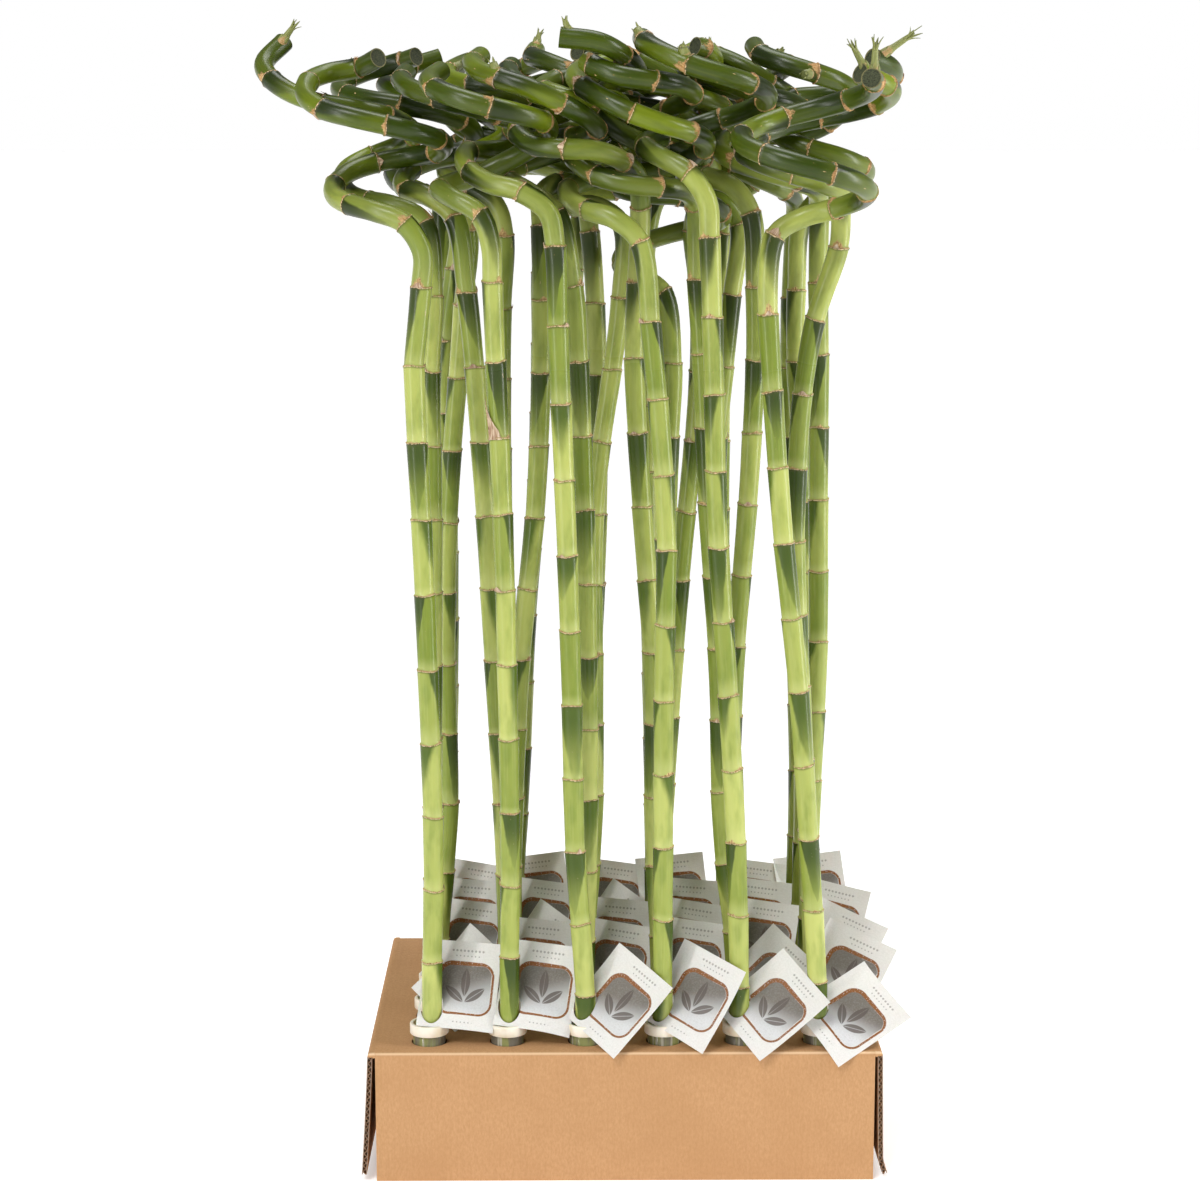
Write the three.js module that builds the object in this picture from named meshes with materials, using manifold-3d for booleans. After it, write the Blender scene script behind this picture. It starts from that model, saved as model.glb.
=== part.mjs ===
// Thirty lucky bamboo canes with coiled tops, each standing in a capped vial with a hang tag,
// all held upright in a shallow corrugated carton. Millimetres, +Z up, the carton's front towards -Y.
// The origin is the middle of the carton's underside.
import * as THREE from "three";
import { mergeVertices } from "three/addons/utils/BufferGeometryUtils.js";
import Module from "manifold-3d";

const wasm = await Module();
wasm.setup();

// Carton: a panel with a grid of holes over four walls and a floor, and a flap down each end
const CARTON = { length: 310, width: 234, height: 81, board: 3, wallInset: 1.6 };
const FLAP = { spread: 4.5, lift: 4 };
const COLUMNS = 6;
const ROWS = 5;
const PITCH = 47.5;
const HOLE_RADIUS = 11.2;
const ROUND_SIDES = 8;

// Vial with its cap ring
const VIAL = { radius: 10.6, bore: 9.4, floor: 2, rise: 5.7 };
const COLLAR = { radius: 12, height: 6.6 };

// Hang tag: a sheet measured from the cane's hole in it, pressed a little onto the cap ring
const TAG = { width: 44, height: 55, thickness: 0.8, left: -8, bottom: -13 };
const TAG_FORM = { bend: 0.008, bands: 3, press: 0.7 };
const TAG_HOLE = { radius: 7.8, sides: 6 };

// Canes
const STEM = { waist: 5.8, shoulder: 6.3, ring: 6.5, ringHalf: 1 };
const INTERNODE = { straight: 45, coil: 40 };
const COIL = { radius: [36, 34], pitch: 60, ease: 50 };
const SHOOT = { root: 3.2, waist: 2.6, tip: 0.8, sunk: 3 };
const FRONT_SIDES = 6;
const INNER_SIDES = 5;

// Fit
const CLEAR = 0.3;
const SPACING = 2 * STEM.ring + 1.4;
const SPACING_SLACK = 0.15;
const STEP = 5;
const OWN_LENGTH = 60;
const FREE_FROM = 10;
const FREE_TO = 150;
const SMOOTH = 20;
const ROUNDS = 400;
const PUSH = 0.05;

const cartonTop = CARTON.height;
const vialFoot = CARTON.board + CLEAR;
const caneFoot = vialFoot + VIAL.floor + CLEAR;
const collarTop = cartonTop + VIAL.rise + COLLAR.height;
const UP = new THREE.Vector3(0, 0, 1);
const rad = THREE.MathUtils.degToRad;
const columnX = (column) => (column - (COLUMNS + 1) / 2) * PITCH;
const rowY = (row) => (row - (ROWS + 1) / 2) * PITCH;

// Each cane, row by row from the front: x at the rising HEIGHTS, then where its straight part ends
// (x, depth behind its row, z), then its coil. bearing is the side of the coil it comes up on
// (degrees, 0 right, -90 front), radius runs from the coil's start to its end, pitch is the rise of
// a turn, and drift carries the coil sideways and back in each turn. A shoot is given as a vector.
const HEIGHTS = [112, 200, 300, 400, 500];
const CANES = [
  { row: 1, column: 1, x: [-117, -115, -117, -120, -123], top: [-117, 0, 549],
    bearing: -90, turns: 1.66, radius: [46, 27], pitch: 56, drift: [-28, 0] },
  { row: 1, column: 2, x: [-70, -69, -70, -72, -76], top: [-78, 0, 560],
    bearing: -90, turns: 1.35, radius: [27, 36], ease: 40 },
  { row: 1, column: 3, x: [-24, -30, -32, -35, -39], top: [-41, 0, 562],
    bearing: -80, turns: 1.35, radius: [46, 36] },
  { row: 1, column: 4, x: [23, 23, 23, 24, 16], top: [11, 0, 547],
    bearing: -90, turns: 1.5, radius: [45, 36] },
  { row: 1, column: 5, x: [69.5, 67, 61, 54, 51], top: [48, 0, 574],
    bearing: -90, turns: 1.3, radius: [38, 38] },
  { row: 1, column: 6, x: [117, 111, 103, 92, 84], top: [81, 0, 545],
    bearing: 122, turns: 1.4, radius: [34, 38], shoot: [2, 0, 24] },
  { row: 2, column: 1, x: [-118, -118, -117, -116, -116], top: [-112, 0, 554],
    bearing: -90, turns: 1.5, radius: [42, 22], pitch: 66, drift: [-58, 0], shoot: [9, -2, 13] },
  { row: 2, column: 2, x: [-72, -74, -79, -84, -91], top: [-97, 0, 556],
    bearing: -90, turns: 1.3 },
  { row: 2, column: 3, x: [-24, -22, -22, -24, -28], top: [-33, 0, 560],
    bearing: -90, turns: 1.3 },
  { row: 2, column: 4, x: [23, 19, 18, 11, 6], top: [10, 0, 572],
    bearing: 0, turns: 1.3, shoot: [2, 0, 12] },
  { row: 2, column: 5, x: [70, 61, 58, 51, 46], top: [42, 0, 560],
    bearing: 0, turns: 1.4 },
  { row: 2, column: 6, x: [118, 114, 108, 104, 111], top: [128, 0, 560],
    bearing: 0, turns: 1.22, drift: [28, 0], radius: [36, 36], shoot: [-7, 0, 20] },
  { row: 3, column: 1, x: [-117, -110, -111, -108, -100], top: [-95, 0, 560],
    bearing: -90, turns: 1.62, drift: [-34, 0], pitch: 52 },
  { row: 3, column: 2, x: [-71, -69, -64, -54, -50], top: [-50, 0, 560],
    bearing: 180, turns: 1.4 },
  { row: 3, column: 3, x: [-23, -18, -18, -17, -4], top: [3, 0, 552],
    bearing: -90, turns: 1.45 },
  { row: 3, column: 4, x: [24, 25, 26, 28, 31], top: [31, 0, 505],
    bearing: -90, turns: 2.2, radius: [30, 36] },
  { row: 3, column: 5, x: [71, 69, 71, 78, 82], top: [80, 0, 562],
    bearing: -90, turns: 1.4 },
  { row: 3, column: 6, x: [119, 120, 123, 122, 121], top: [119, 0, 560],
    bearing: 0, turns: 1.5, drift: [20, 0] },
  { row: 4, column: 1, x: [-118, -116, -115, -114, -111], top: [-103, 0, 556],
    bearing: -90, turns: 1.5, drift: [-8, 0] },
  { row: 4, column: 2, x: [-71, -72, -74, -76, -76], top: [-74, 0, 560],
    bearing: -90, turns: 1.4 },
  { row: 4, column: 3, x: [-24, -22, -18, -15, -16], top: [-20, 0, 572],
    bearing: -90, turns: 1.3, shoot: [3, 0, 13] },
  { row: 4, column: 4, x: [25, 29, 35, 43, 53], top: [56, 0, 560],
    bearing: 0, turns: 1.4 },
  { row: 4, column: 5, x: [71, 69, 65, 61, 64], top: [64, 0, 565],
    bearing: -90, turns: 1.3 },
  { row: 4, column: 6, x: [118, 119, 118, 116, 110], top: [112, 0, 558],
    bearing: 90, turns: 1.42, drift: [14, 0], radius: [31, 34], shoot: [30, 0, 18] },
  { row: 5, column: 1, x: [-118, -115, -113, -113, -114], top: [-116, 0, 560],
    bearing: 180, turns: 1.4 },
  { row: 5, column: 2, x: [-71, -66, -62, -55, -52], top: [-52, 0, 560],
    bearing: 90, turns: 1.4 },
  { row: 5, column: 3, x: [-24, -25, -28, -30, -30], top: [-30, 0, 560],
    bearing: 90, turns: 1.4 },
  { row: 5, column: 4, x: [23, 22, 20, 18, 16], top: [16, 0, 560],
    bearing: 90, turns: 1.4 },
  { row: 5, column: 5, x: [71, 69, 67, 66, 66], top: [66, 0, 560],
    bearing: 90, turns: 1.4, shoot: [10, 0, 6] },
  { row: 5, column: 6, x: [118, 119, 116, 112, 110], top: [112, 0, 560],
    bearing: 0, turns: 1.4, shoot: [0, 0, 11] },
];

// Each hang tag, cell by cell: its roll in its own plane, its slope and its turn about the upright.
const TAGS = [
  [[4, 50, -3], [7, 50, -3], [30, 50, -25], [18, 52, -29], [42, 48, -20], [56, 40, 0]],
  [[28, 46, -31], [6, 50, 0], [10, 48, 0], [8, 50, -2], [34, 46, -25], [26, 46, -4]],
  [[8, 46, 0], [24, 48, -29], [6, 48, 0], [10, 47, 0], [9, 46, 0], [28, 44, 2]],
  [[5, 46, 0], [8, 46, 0], [26, 48, -26], [5, 46, 0], [8, 47, 0], [15, 46, -1]],
  [[10, 46, 0], [-7, 46.6, 0], [8, 46, 0], [-6, 46.6, 0], [8, 46, 0], [-7, 46.6, 0]],
];

function asSolid(geometry) {
  const bare = geometry.index ? geometry.toNonIndexed() : geometry.clone();
  bare.deleteAttribute("normal");
  bare.deleteAttribute("uv");
  const merged = mergeVertices(bare, 1e-4);
  return new wasm.Manifold(new wasm.Mesh({
    numProp: 3,
    vertProperties: new Float32Array(merged.attributes.position.array),
    triVerts: new Uint32Array(merged.index.array),
  }));
}

function asGeometry(solid) {
  const mesh = solid.getMesh();
  const geometry = new THREE.BufferGeometry();
  geometry.setAttribute("position", new THREE.BufferAttribute(new Float32Array(mesh.vertProperties), 3));
  geometry.setIndex(new THREE.BufferAttribute(new Uint32Array(mesh.triVerts), 1));
  geometry.computeVertexNormals();
  return geometry;
}

// A closed solid over a grid of rings: rings[i][j] are points, ring after ring, with flat ends.
function skin(rings) {
  const sides = rings[0].length;
  const positions = rings.flat().flatMap((p) => [p.x, p.y, p.z]);
  const index = [];
  for (let i = 0; i + 1 < rings.length; i += 1) {
    for (let j = 0; j < sides; j += 1) {
      const k = (j + 1) % sides;
      const a = i * sides + j;
      const b = i * sides + k;
      const c = a + sides;
      const d = b + sides;
      index.push(a, b, d, a, d, c);
    }
  }
  const last = (rings.length - 1) * sides;
  for (let j = 1; j + 1 < sides; j += 1) {
    index.push(0, j + 1, j);
    index.push(last, last + j, last + j + 1);
  }
  const geometry = new THREE.BufferGeometry();
  geometry.setAttribute("position", new THREE.Float32BufferAttribute(positions, 3));
  geometry.setIndex(index);
  return geometry;
}

function box(x0, x1, y0, y1, z0, z1) {
  const geometry = new THREE.BoxGeometry(x1 - x0, y1 - y0, z1 - z0);
  geometry.translate((x0 + x1) / 2, (y0 + y1) / 2, (z0 + z1) / 2);
  return asSolid(geometry);
}

function post(x, y, z0, z1, radius, sides) {
  const geometry = new THREE.CylinderGeometry(radius, radius, z1 - z0, sides);
  geometry.rotateX(Math.PI / 2);
  geometry.translate(x, y, (z0 + z1) / 2);
  return asSolid(geometry);
}

function eachCell(action) {
  for (let row = 1; row <= ROWS; row += 1) {
    for (let column = 1; column <= COLUMNS; column += 1) {
      action(row, column);
    }
  }
}

// The end flap hangs from the top's edge and stands out at its lower edge.
function endFlap(side) {
  const { length, width, height, board } = CARTON;
  const outline = new THREE.Shape();
  outline.moveTo(length / 2 - board, height);
  outline.lineTo(length / 2, height);
  outline.lineTo(length / 2 + FLAP.spread, FLAP.lift);
  outline.lineTo(length / 2 + FLAP.spread - board, FLAP.lift);
  outline.closePath();
  const geometry = new THREE.ExtrudeGeometry(outline, { depth: width, bevelEnabled: false });
  geometry.rotateX(Math.PI / 2);
  geometry.translate(0, width / 2, 0);
  if (side < 0) {
    geometry.rotateZ(Math.PI);
  }
  return asSolid(geometry);
}

function cartonSolid() {
  const { length, width, height, board, wallInset } = CARTON;
  const half = length / 2;
  const back = width / 2;
  const wallEnd = half - board - wallInset;
  let carton = box(-half, half, -back, back, height - board, height);
  carton = carton.add(box(-wallEnd, wallEnd, -back, -back + board, 0, height));
  carton = carton.add(box(-wallEnd, wallEnd, back - board, back, 0, height));
  carton = carton.add(box(-wallEnd, wallEnd, -back, back, 0, board));
  for (const side of [-1, 1]) {
    const inner = side * (wallEnd - board);
    const outer = side * wallEnd;
    carton = carton.add(box(Math.min(inner, outer), Math.max(inner, outer), -back, back, 0, height));
    carton = carton.add(endFlap(side));
  }
  eachCell((row, column) => {
    const x = columnX(column);
    const y = rowY(row);
    carton = carton.subtract(post(x, y, height - 2 * board, height + board, HOLE_RADIUS, ROUND_SIDES));
  });
  return carton;
}

// The vial is open at the top, and its cap ring stands proud of it.
function vialSolid(x, y) {
  const ledge = cartonTop + VIAL.rise;
  const profile = [
    [0, vialFoot],
    [VIAL.radius, vialFoot],
    [VIAL.radius, ledge],
    [COLLAR.radius, ledge],
    [COLLAR.radius, collarTop],
    [VIAL.bore, collarTop],
    [VIAL.bore, vialFoot + VIAL.floor],
    [0, vialFoot + VIAL.floor],
  ].map(([r, z]) => new THREE.Vector2(r, z));
  const geometry = new THREE.LatheGeometry(profile, ROUND_SIDES);
  geometry.rotateX(Math.PI / 2);
  geometry.translate(x, y, 0);
  return asSolid(geometry);
}

// A hang tag: a rectangle rolled in its plane, flat below the cane's hole and bent upright above it.
function tagSolid(x, y, [roll, slope, turn]) {
  const { width, height, thickness, left, bottom } = TAG;
  const { bend, bands, press } = TAG_FORM;
  const tilt = rad(slope);
  const cosRoll = Math.cos(rad(roll));
  const sinRoll = Math.sin(rad(roll));
  const reach = Math.min(-bottom / cosRoll * Math.cos(tilt), COLLAR.radius - 1);
  const holeHeight = collarTop + reach * Math.tan(tilt) - press;
  const place = (across, up, depth) => {
    const wide = across * cosRoll + up * sinRoll;
    const along = -across * sinRoll + up * cosRoll;
    const turned = tilt + bend * Math.max(0, along);
    const out = along > 0 ? (Math.sin(turned) - Math.sin(tilt)) / bend : along * Math.cos(tilt);
    const rise = along > 0 ? (Math.cos(tilt) - Math.cos(turned)) / bend : along * Math.sin(tilt);
    const point = new THREE.Vector3(wide, out - depth * Math.sin(turned), rise + depth * Math.cos(turned));
    point.applyAxisAngle(UP, rad(turn));
    return point.add(new THREE.Vector3(x, y, holeHeight));
  };
  const rings = [];
  for (let i = 0; i <= bands; i += 1) {
    const up = bottom + height * i / bands;
    const loop = [[left, thickness], [left + width, thickness], [left + width, 0], [left, 0]];
    rings.push(loop.map(([across, depth]) => place(across, up, depth)));
  }
  const hole = post(x, y, cartonTop, holeHeight + height, TAG_HOLE.radius, TAG_HOLE.sides);
  return asSolid(skin(rings)).subtract(hole);
}

// The straight part of a cane, from its foot in the vial to where the coil begins.
function stemCurve(cane) {
  const y = rowY(cane.row);
  const [topX, topDepth, topZ] = cane.top;
  const points = [new THREE.Vector3(cane.x[0], y, caneFoot)];
  HEIGHTS.forEach((z, i) => {
    if (z < topZ - 30) {
      const share = Math.max(0, z - collarTop) / (topZ - collarTop);
      points.push(new THREE.Vector3(cane.x[i], y + topDepth * share, z));
    }
  });
  points.push(new THREE.Vector3(topX, y + topDepth, topZ));
  return new THREE.CatmullRomCurve3(points, false, "centripetal");
}

function canePath(cane) {
  const curve = stemCurve(cane);
  const path = curve.getSpacedPoints(Math.round(curve.getLength() / STEP));
  const [radiusLow, radiusHigh] = cane.radius ?? COIL.radius;
  const ease = cane.ease ?? COIL.ease;
  const pitch = cane.pitch ?? COIL.pitch;
  const [driftX, driftY] = cane.drift ?? [0, 0];
  const place = path[path.length - 1].clone();
  let bearing = rad(cane.bearing);
  let turned = 0;
  let travelled = 0;
  while (turned < cane.turns) {
    travelled += STEP;
    const radius = THREE.MathUtils.lerp(radiusLow, radiusHigh, turned / cane.turns);
    const slope = Math.atan2(pitch, 2 * Math.PI * radius);
    const eased = THREE.MathUtils.smoothstep(travelled, 0, ease);
    const rise = THREE.MathUtils.lerp(Math.PI / 2, slope, eased);
    const run = STEP * Math.cos(rise);
    place.x += run * Math.sin(bearing) + driftX * run / (2 * Math.PI * radius);
    place.y += -run * Math.cos(bearing) + driftY * run / (2 * Math.PI * radius);
    place.z += STEP * Math.sin(rise);
    bearing -= run / radius;
    turned += run / (2 * Math.PI * radius);
    path.push(place.clone());
  }
  return path;
}

// How freely a point of a cane may be moved aside: not in the vial, fully above the hang tags.
const freedom = (z) => THREE.MathUtils.smoothstep(z, collarTop + FREE_FROM, collarTop + FREE_TO);

// The weights of a point's neighbours along its cane, so that a push bends the stem gently.
function smoothing() {
  const reach = Math.round(2 * SMOOTH / STEP);
  const weights = [];
  for (let k = -reach; k <= reach; k += 1) {
    weights.push([k, Math.exp(-0.5 * (k * STEP / SMOOTH) ** 2)]);
  }
  return weights;
}

const cellOf = (p) => [p.x, p.y, p.z].map((value) => Math.floor(value / SPACING));

function gridOf(paths) {
  const grid = new Map();
  paths.forEach((path, a) => path.forEach((p, i) => {
    const key = cellOf(p).join();
    if (!grid.has(key)) {
      grid.set(key, []);
    }
    grid.get(key).push([a, i]);
  }));
  return grid;
}

function eachNeighbour(grid, p, action) {
  const [cx, cy, cz] = cellOf(p);
  for (const dx of [-1, 0, 1]) {
    for (const dy of [-1, 0, 1]) {
      for (const dz of [-1, 0, 1]) {
        for (const [b, j] of grid.get([cx + dx, cy + dy, cz + dz].join()) ?? []) {
          action(b, j);
        }
      }
    }
  }
}

// Moves the canes apart, smoothly along each, until their middle lines keep the spacing.
function spreadOut(paths) {
  const weights = smoothing();
  let nearest = 0;
  for (let round = 0; round < ROUNDS && nearest < SPACING - SPACING_SLACK; round += 1) {
    const grid = gridOf(paths);
    const push = paths.map((path) => path.map(() => new THREE.Vector3()));
    nearest = Infinity;
    paths.forEach((path, a) => path.forEach((p, i) => eachNeighbour(grid, p, (b, j) => {
      if (b === a && Math.abs(i - j) * STEP < OWN_LENGTH) {
        return;
      }
      const gap = p.clone().sub(paths[b][j]);
      const distance = gap.length();
      if (distance < SPACING) {
        nearest = Math.min(nearest, distance);
        push[a][i].addScaledVector(gap, (SPACING - distance) / Math.max(distance, CLEAR));
      }
    })));
    paths.forEach((path, a) => path.forEach((p, i) => {
      const sum = new THREE.Vector3();
      for (const [k, weight] of weights) {
        if (path[i + k]) {
          sum.addScaledVector(push[a][i + k], weight);
        }
      }
      p.addScaledVector(sum, PUSH * freedom(p.z));
    }));
  }
}

// Rings stand along a cane at each internode; between them the stem is a little thinner.
function sections(path, cane) {
  const sides = cane.row === 1 ? FRONT_SIDES : INNER_SIDES;
  const curve = new THREE.CatmullRomCurve3(path, false, "centripetal");
  curve.arcLengthDivisions = 4 * path.length;
  const length = curve.getLength();
  const topZ = cane.top[2];
  const straight = path.findIndex((p) => p.z > topZ) * STEP;
  const stations = [[0, STEM.shoulder]];
  let along = INTERNODE.straight * (0.35 + 0.6 * ((cane.row * 7 + cane.column * 11) % 10) / 10);
  while (along < length - STEP) {
    const coiled = along > straight - INTERNODE.straight / 2;
    if (sides === FRONT_SIDES && !coiled) {
      stations.push([along - STEM.ringHalf, STEM.ring], [along + STEM.ringHalf, STEM.waist]);
    } else {
      stations.push([along, STEM.ring]);
    }
    const internode = coiled ? INTERNODE.coil : INTERNODE.straight;
    if (coiled && along + internode / 2 < length - STEP) {
      stations.push([along + internode / 2, STEM.waist]);
    }
    along += internode;
  }
  stations.push([length, STEM.shoulder]);
  return { sides, curve, length, stations };
}

function caneSolid(path, cane) {
  const { sides, curve, length, stations } = sections(path, cane);
  let across = new THREE.Vector3(Math.cos(0.3), Math.sin(0.3), 0);
  let at = 0;
  const rings = [];
  const frameStep = STEP / 2;
  const tangentAt = (s) => curve.getTangentAt(Math.min(1, s / length));
  for (const [station, radius] of stations) {
    while (at < station) {
      at = Math.min(station, at + frameStep);
      const tangent = tangentAt(at);
      across.addScaledVector(tangent, -across.dot(tangent)).normalize();
    }
    const tangent = tangentAt(station);
    const other = tangent.clone().cross(across);
    const centre = curve.getPointAt(Math.min(1, station / length));
    const ring = [];
    for (let j = 0; j < sides; j += 1) {
      const angle = 2 * Math.PI * j / sides;
      ring.push(centre.clone()
        .addScaledVector(across, radius * Math.cos(angle))
        .addScaledVector(other, radius * Math.sin(angle)));
    }
    rings.push(ring);
  }
  return asSolid(skin(rings));
}

// A young shoot grows out of the cut end of some canes.
function shootSolid(end, direction) {
  const { root, waist, tip, sunk } = SHOOT;
  const axis = new THREE.Vector3(...direction);
  const reach = axis.length();
  axis.normalize();
  const side = new THREE.Vector3(0, 1, 0).addScaledVector(axis, -axis.y).normalize();
  const other = axis.clone().cross(side);
  const rings = [[-sunk, root], [reach / 2, waist], [reach, tip]].map(([along, radius]) => {
    const centre = end.clone().addScaledVector(axis, along);
    return [0, 1, 2, 3].map((j) => {
      const angle = Math.PI * j / 2;
      return centre.clone()
        .addScaledVector(side, radius * Math.cos(angle))
        .addScaledVector(other, radius * Math.sin(angle));
    });
  });
  return asSolid(skin(rings));
}

const paths = CANES.map(canePath);
spreadOut(paths);

const materials = {
  board: new THREE.MeshStandardMaterial({ name: "kraft_board", color: 0xc8956a, roughness: 0.95 }),
  stem: new THREE.MeshStandardMaterial({ name: "green_stem", color: 0x7f9a3c, roughness: 0.45 }),
  vial: new THREE.MeshStandardMaterial({ name: "white_plastic", color: 0xf2efe6, roughness: 0.4 }),
};

const part = new THREE.Group();
function addNode(name, solid, material) {
  const mesh = new THREE.Mesh(asGeometry(solid), material);
  mesh.name = name;
  part.add(mesh);
}

// The vial of a cell with its hang tag lying on the cap ring.
function cellSolid(row, column) {
  const cane = CANES.find((one) => one.row === row && one.column === column);
  const tag = tagSolid(cane.x[0], rowY(row), TAGS[row - 1][column - 1]);
  return vialSolid(columnX(column), rowY(row)).add(tag);
}

addNode("carton", cartonSolid(), materials.board);
CANES.forEach((cane, i) => {
  const path = paths[i];
  let solid = caneSolid(path, cane);
  if (cane.shoot) {
    solid = solid.add(shootSolid(path[path.length - 1], cane.shoot));
  }
  addNode(`cane_r${cane.row}_c${cane.column}`, solid, materials.stem);
});

// In the last row two neighbouring vials are one body, joined where their hang tags touch.
eachCell((row, column) => {
  if (row < ROWS) {
    addNode(`vial_r${row}_c${column}`, cellSolid(row, column), materials.vial);
  } else if (column % 2 === 1) {
    const pair = cellSolid(row, column).add(cellSolid(row, column + 1));
    addNode(`vials_r${row}_c${column}_c${column + 1}`, pair, materials.vial);
  }
});

export default part;
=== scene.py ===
# Lucky bamboo: coiled canes in capped vials with hang tags, in a corrugated carton.
# The tables are in millimetres and degrees unless they say otherwise, the objects in metres.
import math

import bmesh
import bpy
import numpy as np
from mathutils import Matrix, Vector


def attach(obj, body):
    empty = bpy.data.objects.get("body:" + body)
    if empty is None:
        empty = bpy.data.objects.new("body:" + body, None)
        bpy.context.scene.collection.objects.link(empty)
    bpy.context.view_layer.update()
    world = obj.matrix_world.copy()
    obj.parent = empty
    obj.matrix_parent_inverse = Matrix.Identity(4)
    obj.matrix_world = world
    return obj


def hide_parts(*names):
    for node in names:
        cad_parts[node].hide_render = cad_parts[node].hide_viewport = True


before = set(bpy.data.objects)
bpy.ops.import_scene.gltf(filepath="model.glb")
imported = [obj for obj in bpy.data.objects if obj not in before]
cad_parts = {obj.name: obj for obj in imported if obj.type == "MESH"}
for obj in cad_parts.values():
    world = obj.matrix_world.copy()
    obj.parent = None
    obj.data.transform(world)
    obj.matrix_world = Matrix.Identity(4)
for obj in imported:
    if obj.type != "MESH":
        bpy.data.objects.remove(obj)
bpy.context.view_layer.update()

MM = 0.001

# Carton, and its end flaps: how far each leans out and how far its lower edge curls
CARTON = dict(length=310.0, width=234.0, height=81.0, board=3.0, wall_inset=1.6, fold=2.4, play=0.2)
FLAP = dict(lift=4.3, bow=1.2, curl_from=0.86, levels=240, seam=0.02)
FLAPS = [dict(side=-1, spread=4.4, curl=0.0), dict(side=1, spread=1.6, curl=2.4)]
FLUTE = dict(liner=0.5, web=0.4, length=3.8)
COLUMNS, ROWS, PITCH = 6, 5, 47.5
CELLS = [(row, column) for row in range(1, ROWS + 1) for column in range(1, COLUMNS + 1)]
HOLE = dict(radius=10.9, sides=40)

# Vial, water and cap ring. A pole is the small radius at which a turned shape stops short of its axis
VIAL = dict(radius=10.0, bore=9.1, foot=3.4, floor=1.6, lip=87.4, corner=1.5, inner_corner=1.0,
            lip_round=0.3, pole=0.4, sides=32)
WATER = dict(radius=9.15, low=5.1, level=85.6, corner=1.0, rim=0.8, rim_drop=0.35, drop=0.4, pole=0.3)
COLLAR = dict(radius=11.8, bore=9.6, low=86.7, high=93.2, round=0.9, low_round=0.4, bore_round=0.5,
              bore_low=1.6, seat=1.4, play=0.25, sides=40)
COLLAR_TOP = 93.3

# Hang tag, measured from the cane's hole in it: its roll, slope and turn in each cell
TAG = dict(width=46.5, height=55.0, left=-8.0, bottom=-13.0, thickness=0.35, hole=6.9, bend=0.008)
TAG_GRID = dict(around=72, layers=18, hole_share=0.94, crowding=1.15)
TAG_SEAT = dict(press=0.7, collar=11.0, lift=0.2, edge_rise=0.05, edge_start=3.5)
TAGS = [
    [(4, 50, -3), (7, 50, -3), (30, 50, -25), (18, 52, -29), (42, 48, -20), (56, 40, 0)],
    [(28, 46, -31), (6, 50, 0), (10, 48, 0), (8, 50, -2), (34, 46, -25), (26, 46, -4)],
    [(8, 46, 0), (24, 48, -29), (6, 48, 0), (10, 47, 0), (9, 46, 0), (28, 44, 2)],
    [(5, 46, 0), (8, 46, 0), (26, 48, -26), (5, 46, 0), (8, 47, 0), (15, 46, -1)],
    [(10, 46, 0), (-7, 46.6, 0), (8, 46, 0), (-6, 46.6, 0), (8, 46, 0), (-7, 46.6, 0)],
]
TAG_CANE_X = [
    [-117, -70, -24, 23, 69.5, 117],
    [-118, -72, -24, 23, 70, 118],
    [-117, -71, -23, 24, 71, 119],
    [-118, -71, -24, 25, 71, 118],
    [-118, -71, -24, 23, 71, 118],
]

# Wear of a tag: the limits of its amount, where on the sheet it starts and over what distance it grows
TAG_WEAR = dict(curl=((0.3, 1.8), 30.0, 40.0), dog_ear=((-0.6, 1.0), 22.0, 25.0),
                sag=((2.0, 5.0), 12.0, 26.0))

# Print on a tag: its panel, leaves (centre, angle, length) and rows of dots (level, half length, radius)
PRINT = dict(centre=(18.6, 12.8), half=(15.4, 14.8), corner=6.6, leaf_width=5.4, dot_gap=1.15)
PRINT_LEAVES = [((18.6, 17.0), 90.0, 18.0), ((12.4, 9.4), 140.0, 15.0), ((24.8, 9.4), 40.0, 15.0)]
PRINT_DOTS = [(36.4, 10.5, 0.7), (33.2, 7.5, 0.45), (-8.4, 6.5, 0.45)]

# Cane: radii along an internode, its unevenness, the radius from which a packed cross-section is a ring, how
# finely the stem is drawn, the length at which its rind is fully aged, and the next rings beyond both ends
STEM = dict(waist=5.82, middle=5.98, neck=6.24, shoulder=6.3, ring=6.62, lip=0.5, flare=0.8, sides=24)
STEM_SHARES = [0.0, 0.5, 0.93, 1.0]
UNEVEN = dict(oval=0.016, ragged=0.1, ragged_reach=0.5, wave=0.28)
RING_FROM = 6.4
RING_SECTIONS = [-2.4, -1.2, -0.6, -0.15, 0.2, 0.6, 1.1, 2.2, 4.2]
LINE_STEP = 1.0
STEP = dict(straight=8.0, coil=3.4, coil_from=520.0, early=40.0, apart=1.0)
GROWN = 760.0
BEYOND = dict(foot=30.0, end=34.0)
CUT = [(0.9, 0.0), (0.78, 0.45), (0.45, 0.7), (0.15, 0.6)]
RIND, CUT_END, DRY, YOUNG = range(4)
SHARP = dict(stem=60.0, vial=50.0, tag=50.0, board=30.0)

# Marks of an internode, drawn at random: its dark wedge, the height of its tan edge and its rings' slant
WEDGE = dict(turn=0.6, share=0.95, width=(1.0, 2.0), reach=(0.6, 1.15))
HUSK = dict(straight=(1.0, 3.2), coiled=(1.8, 8.5))
SLANT = (0.2, 0.8)

# Dry scraps at the rings, away from the foot and the end, and the one long scrap on the second front cane
FLAKE = dict(across=5, up=4, thickness=0.22, chance=0.45, from_foot=90.0, from_end=6.0, width=(1.6, 3.6),
             straight=(1.6, 3.2), coiled=(1.6, 4.6), lift=(0.0, 0.5))
SCRAP = dict(cane=(1, 2), level=428.0,
             shape=dict(angle=-2.1, width=4.4, height=24.0, lift=0.8, lean=-1.0, slim=1.5))

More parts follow.
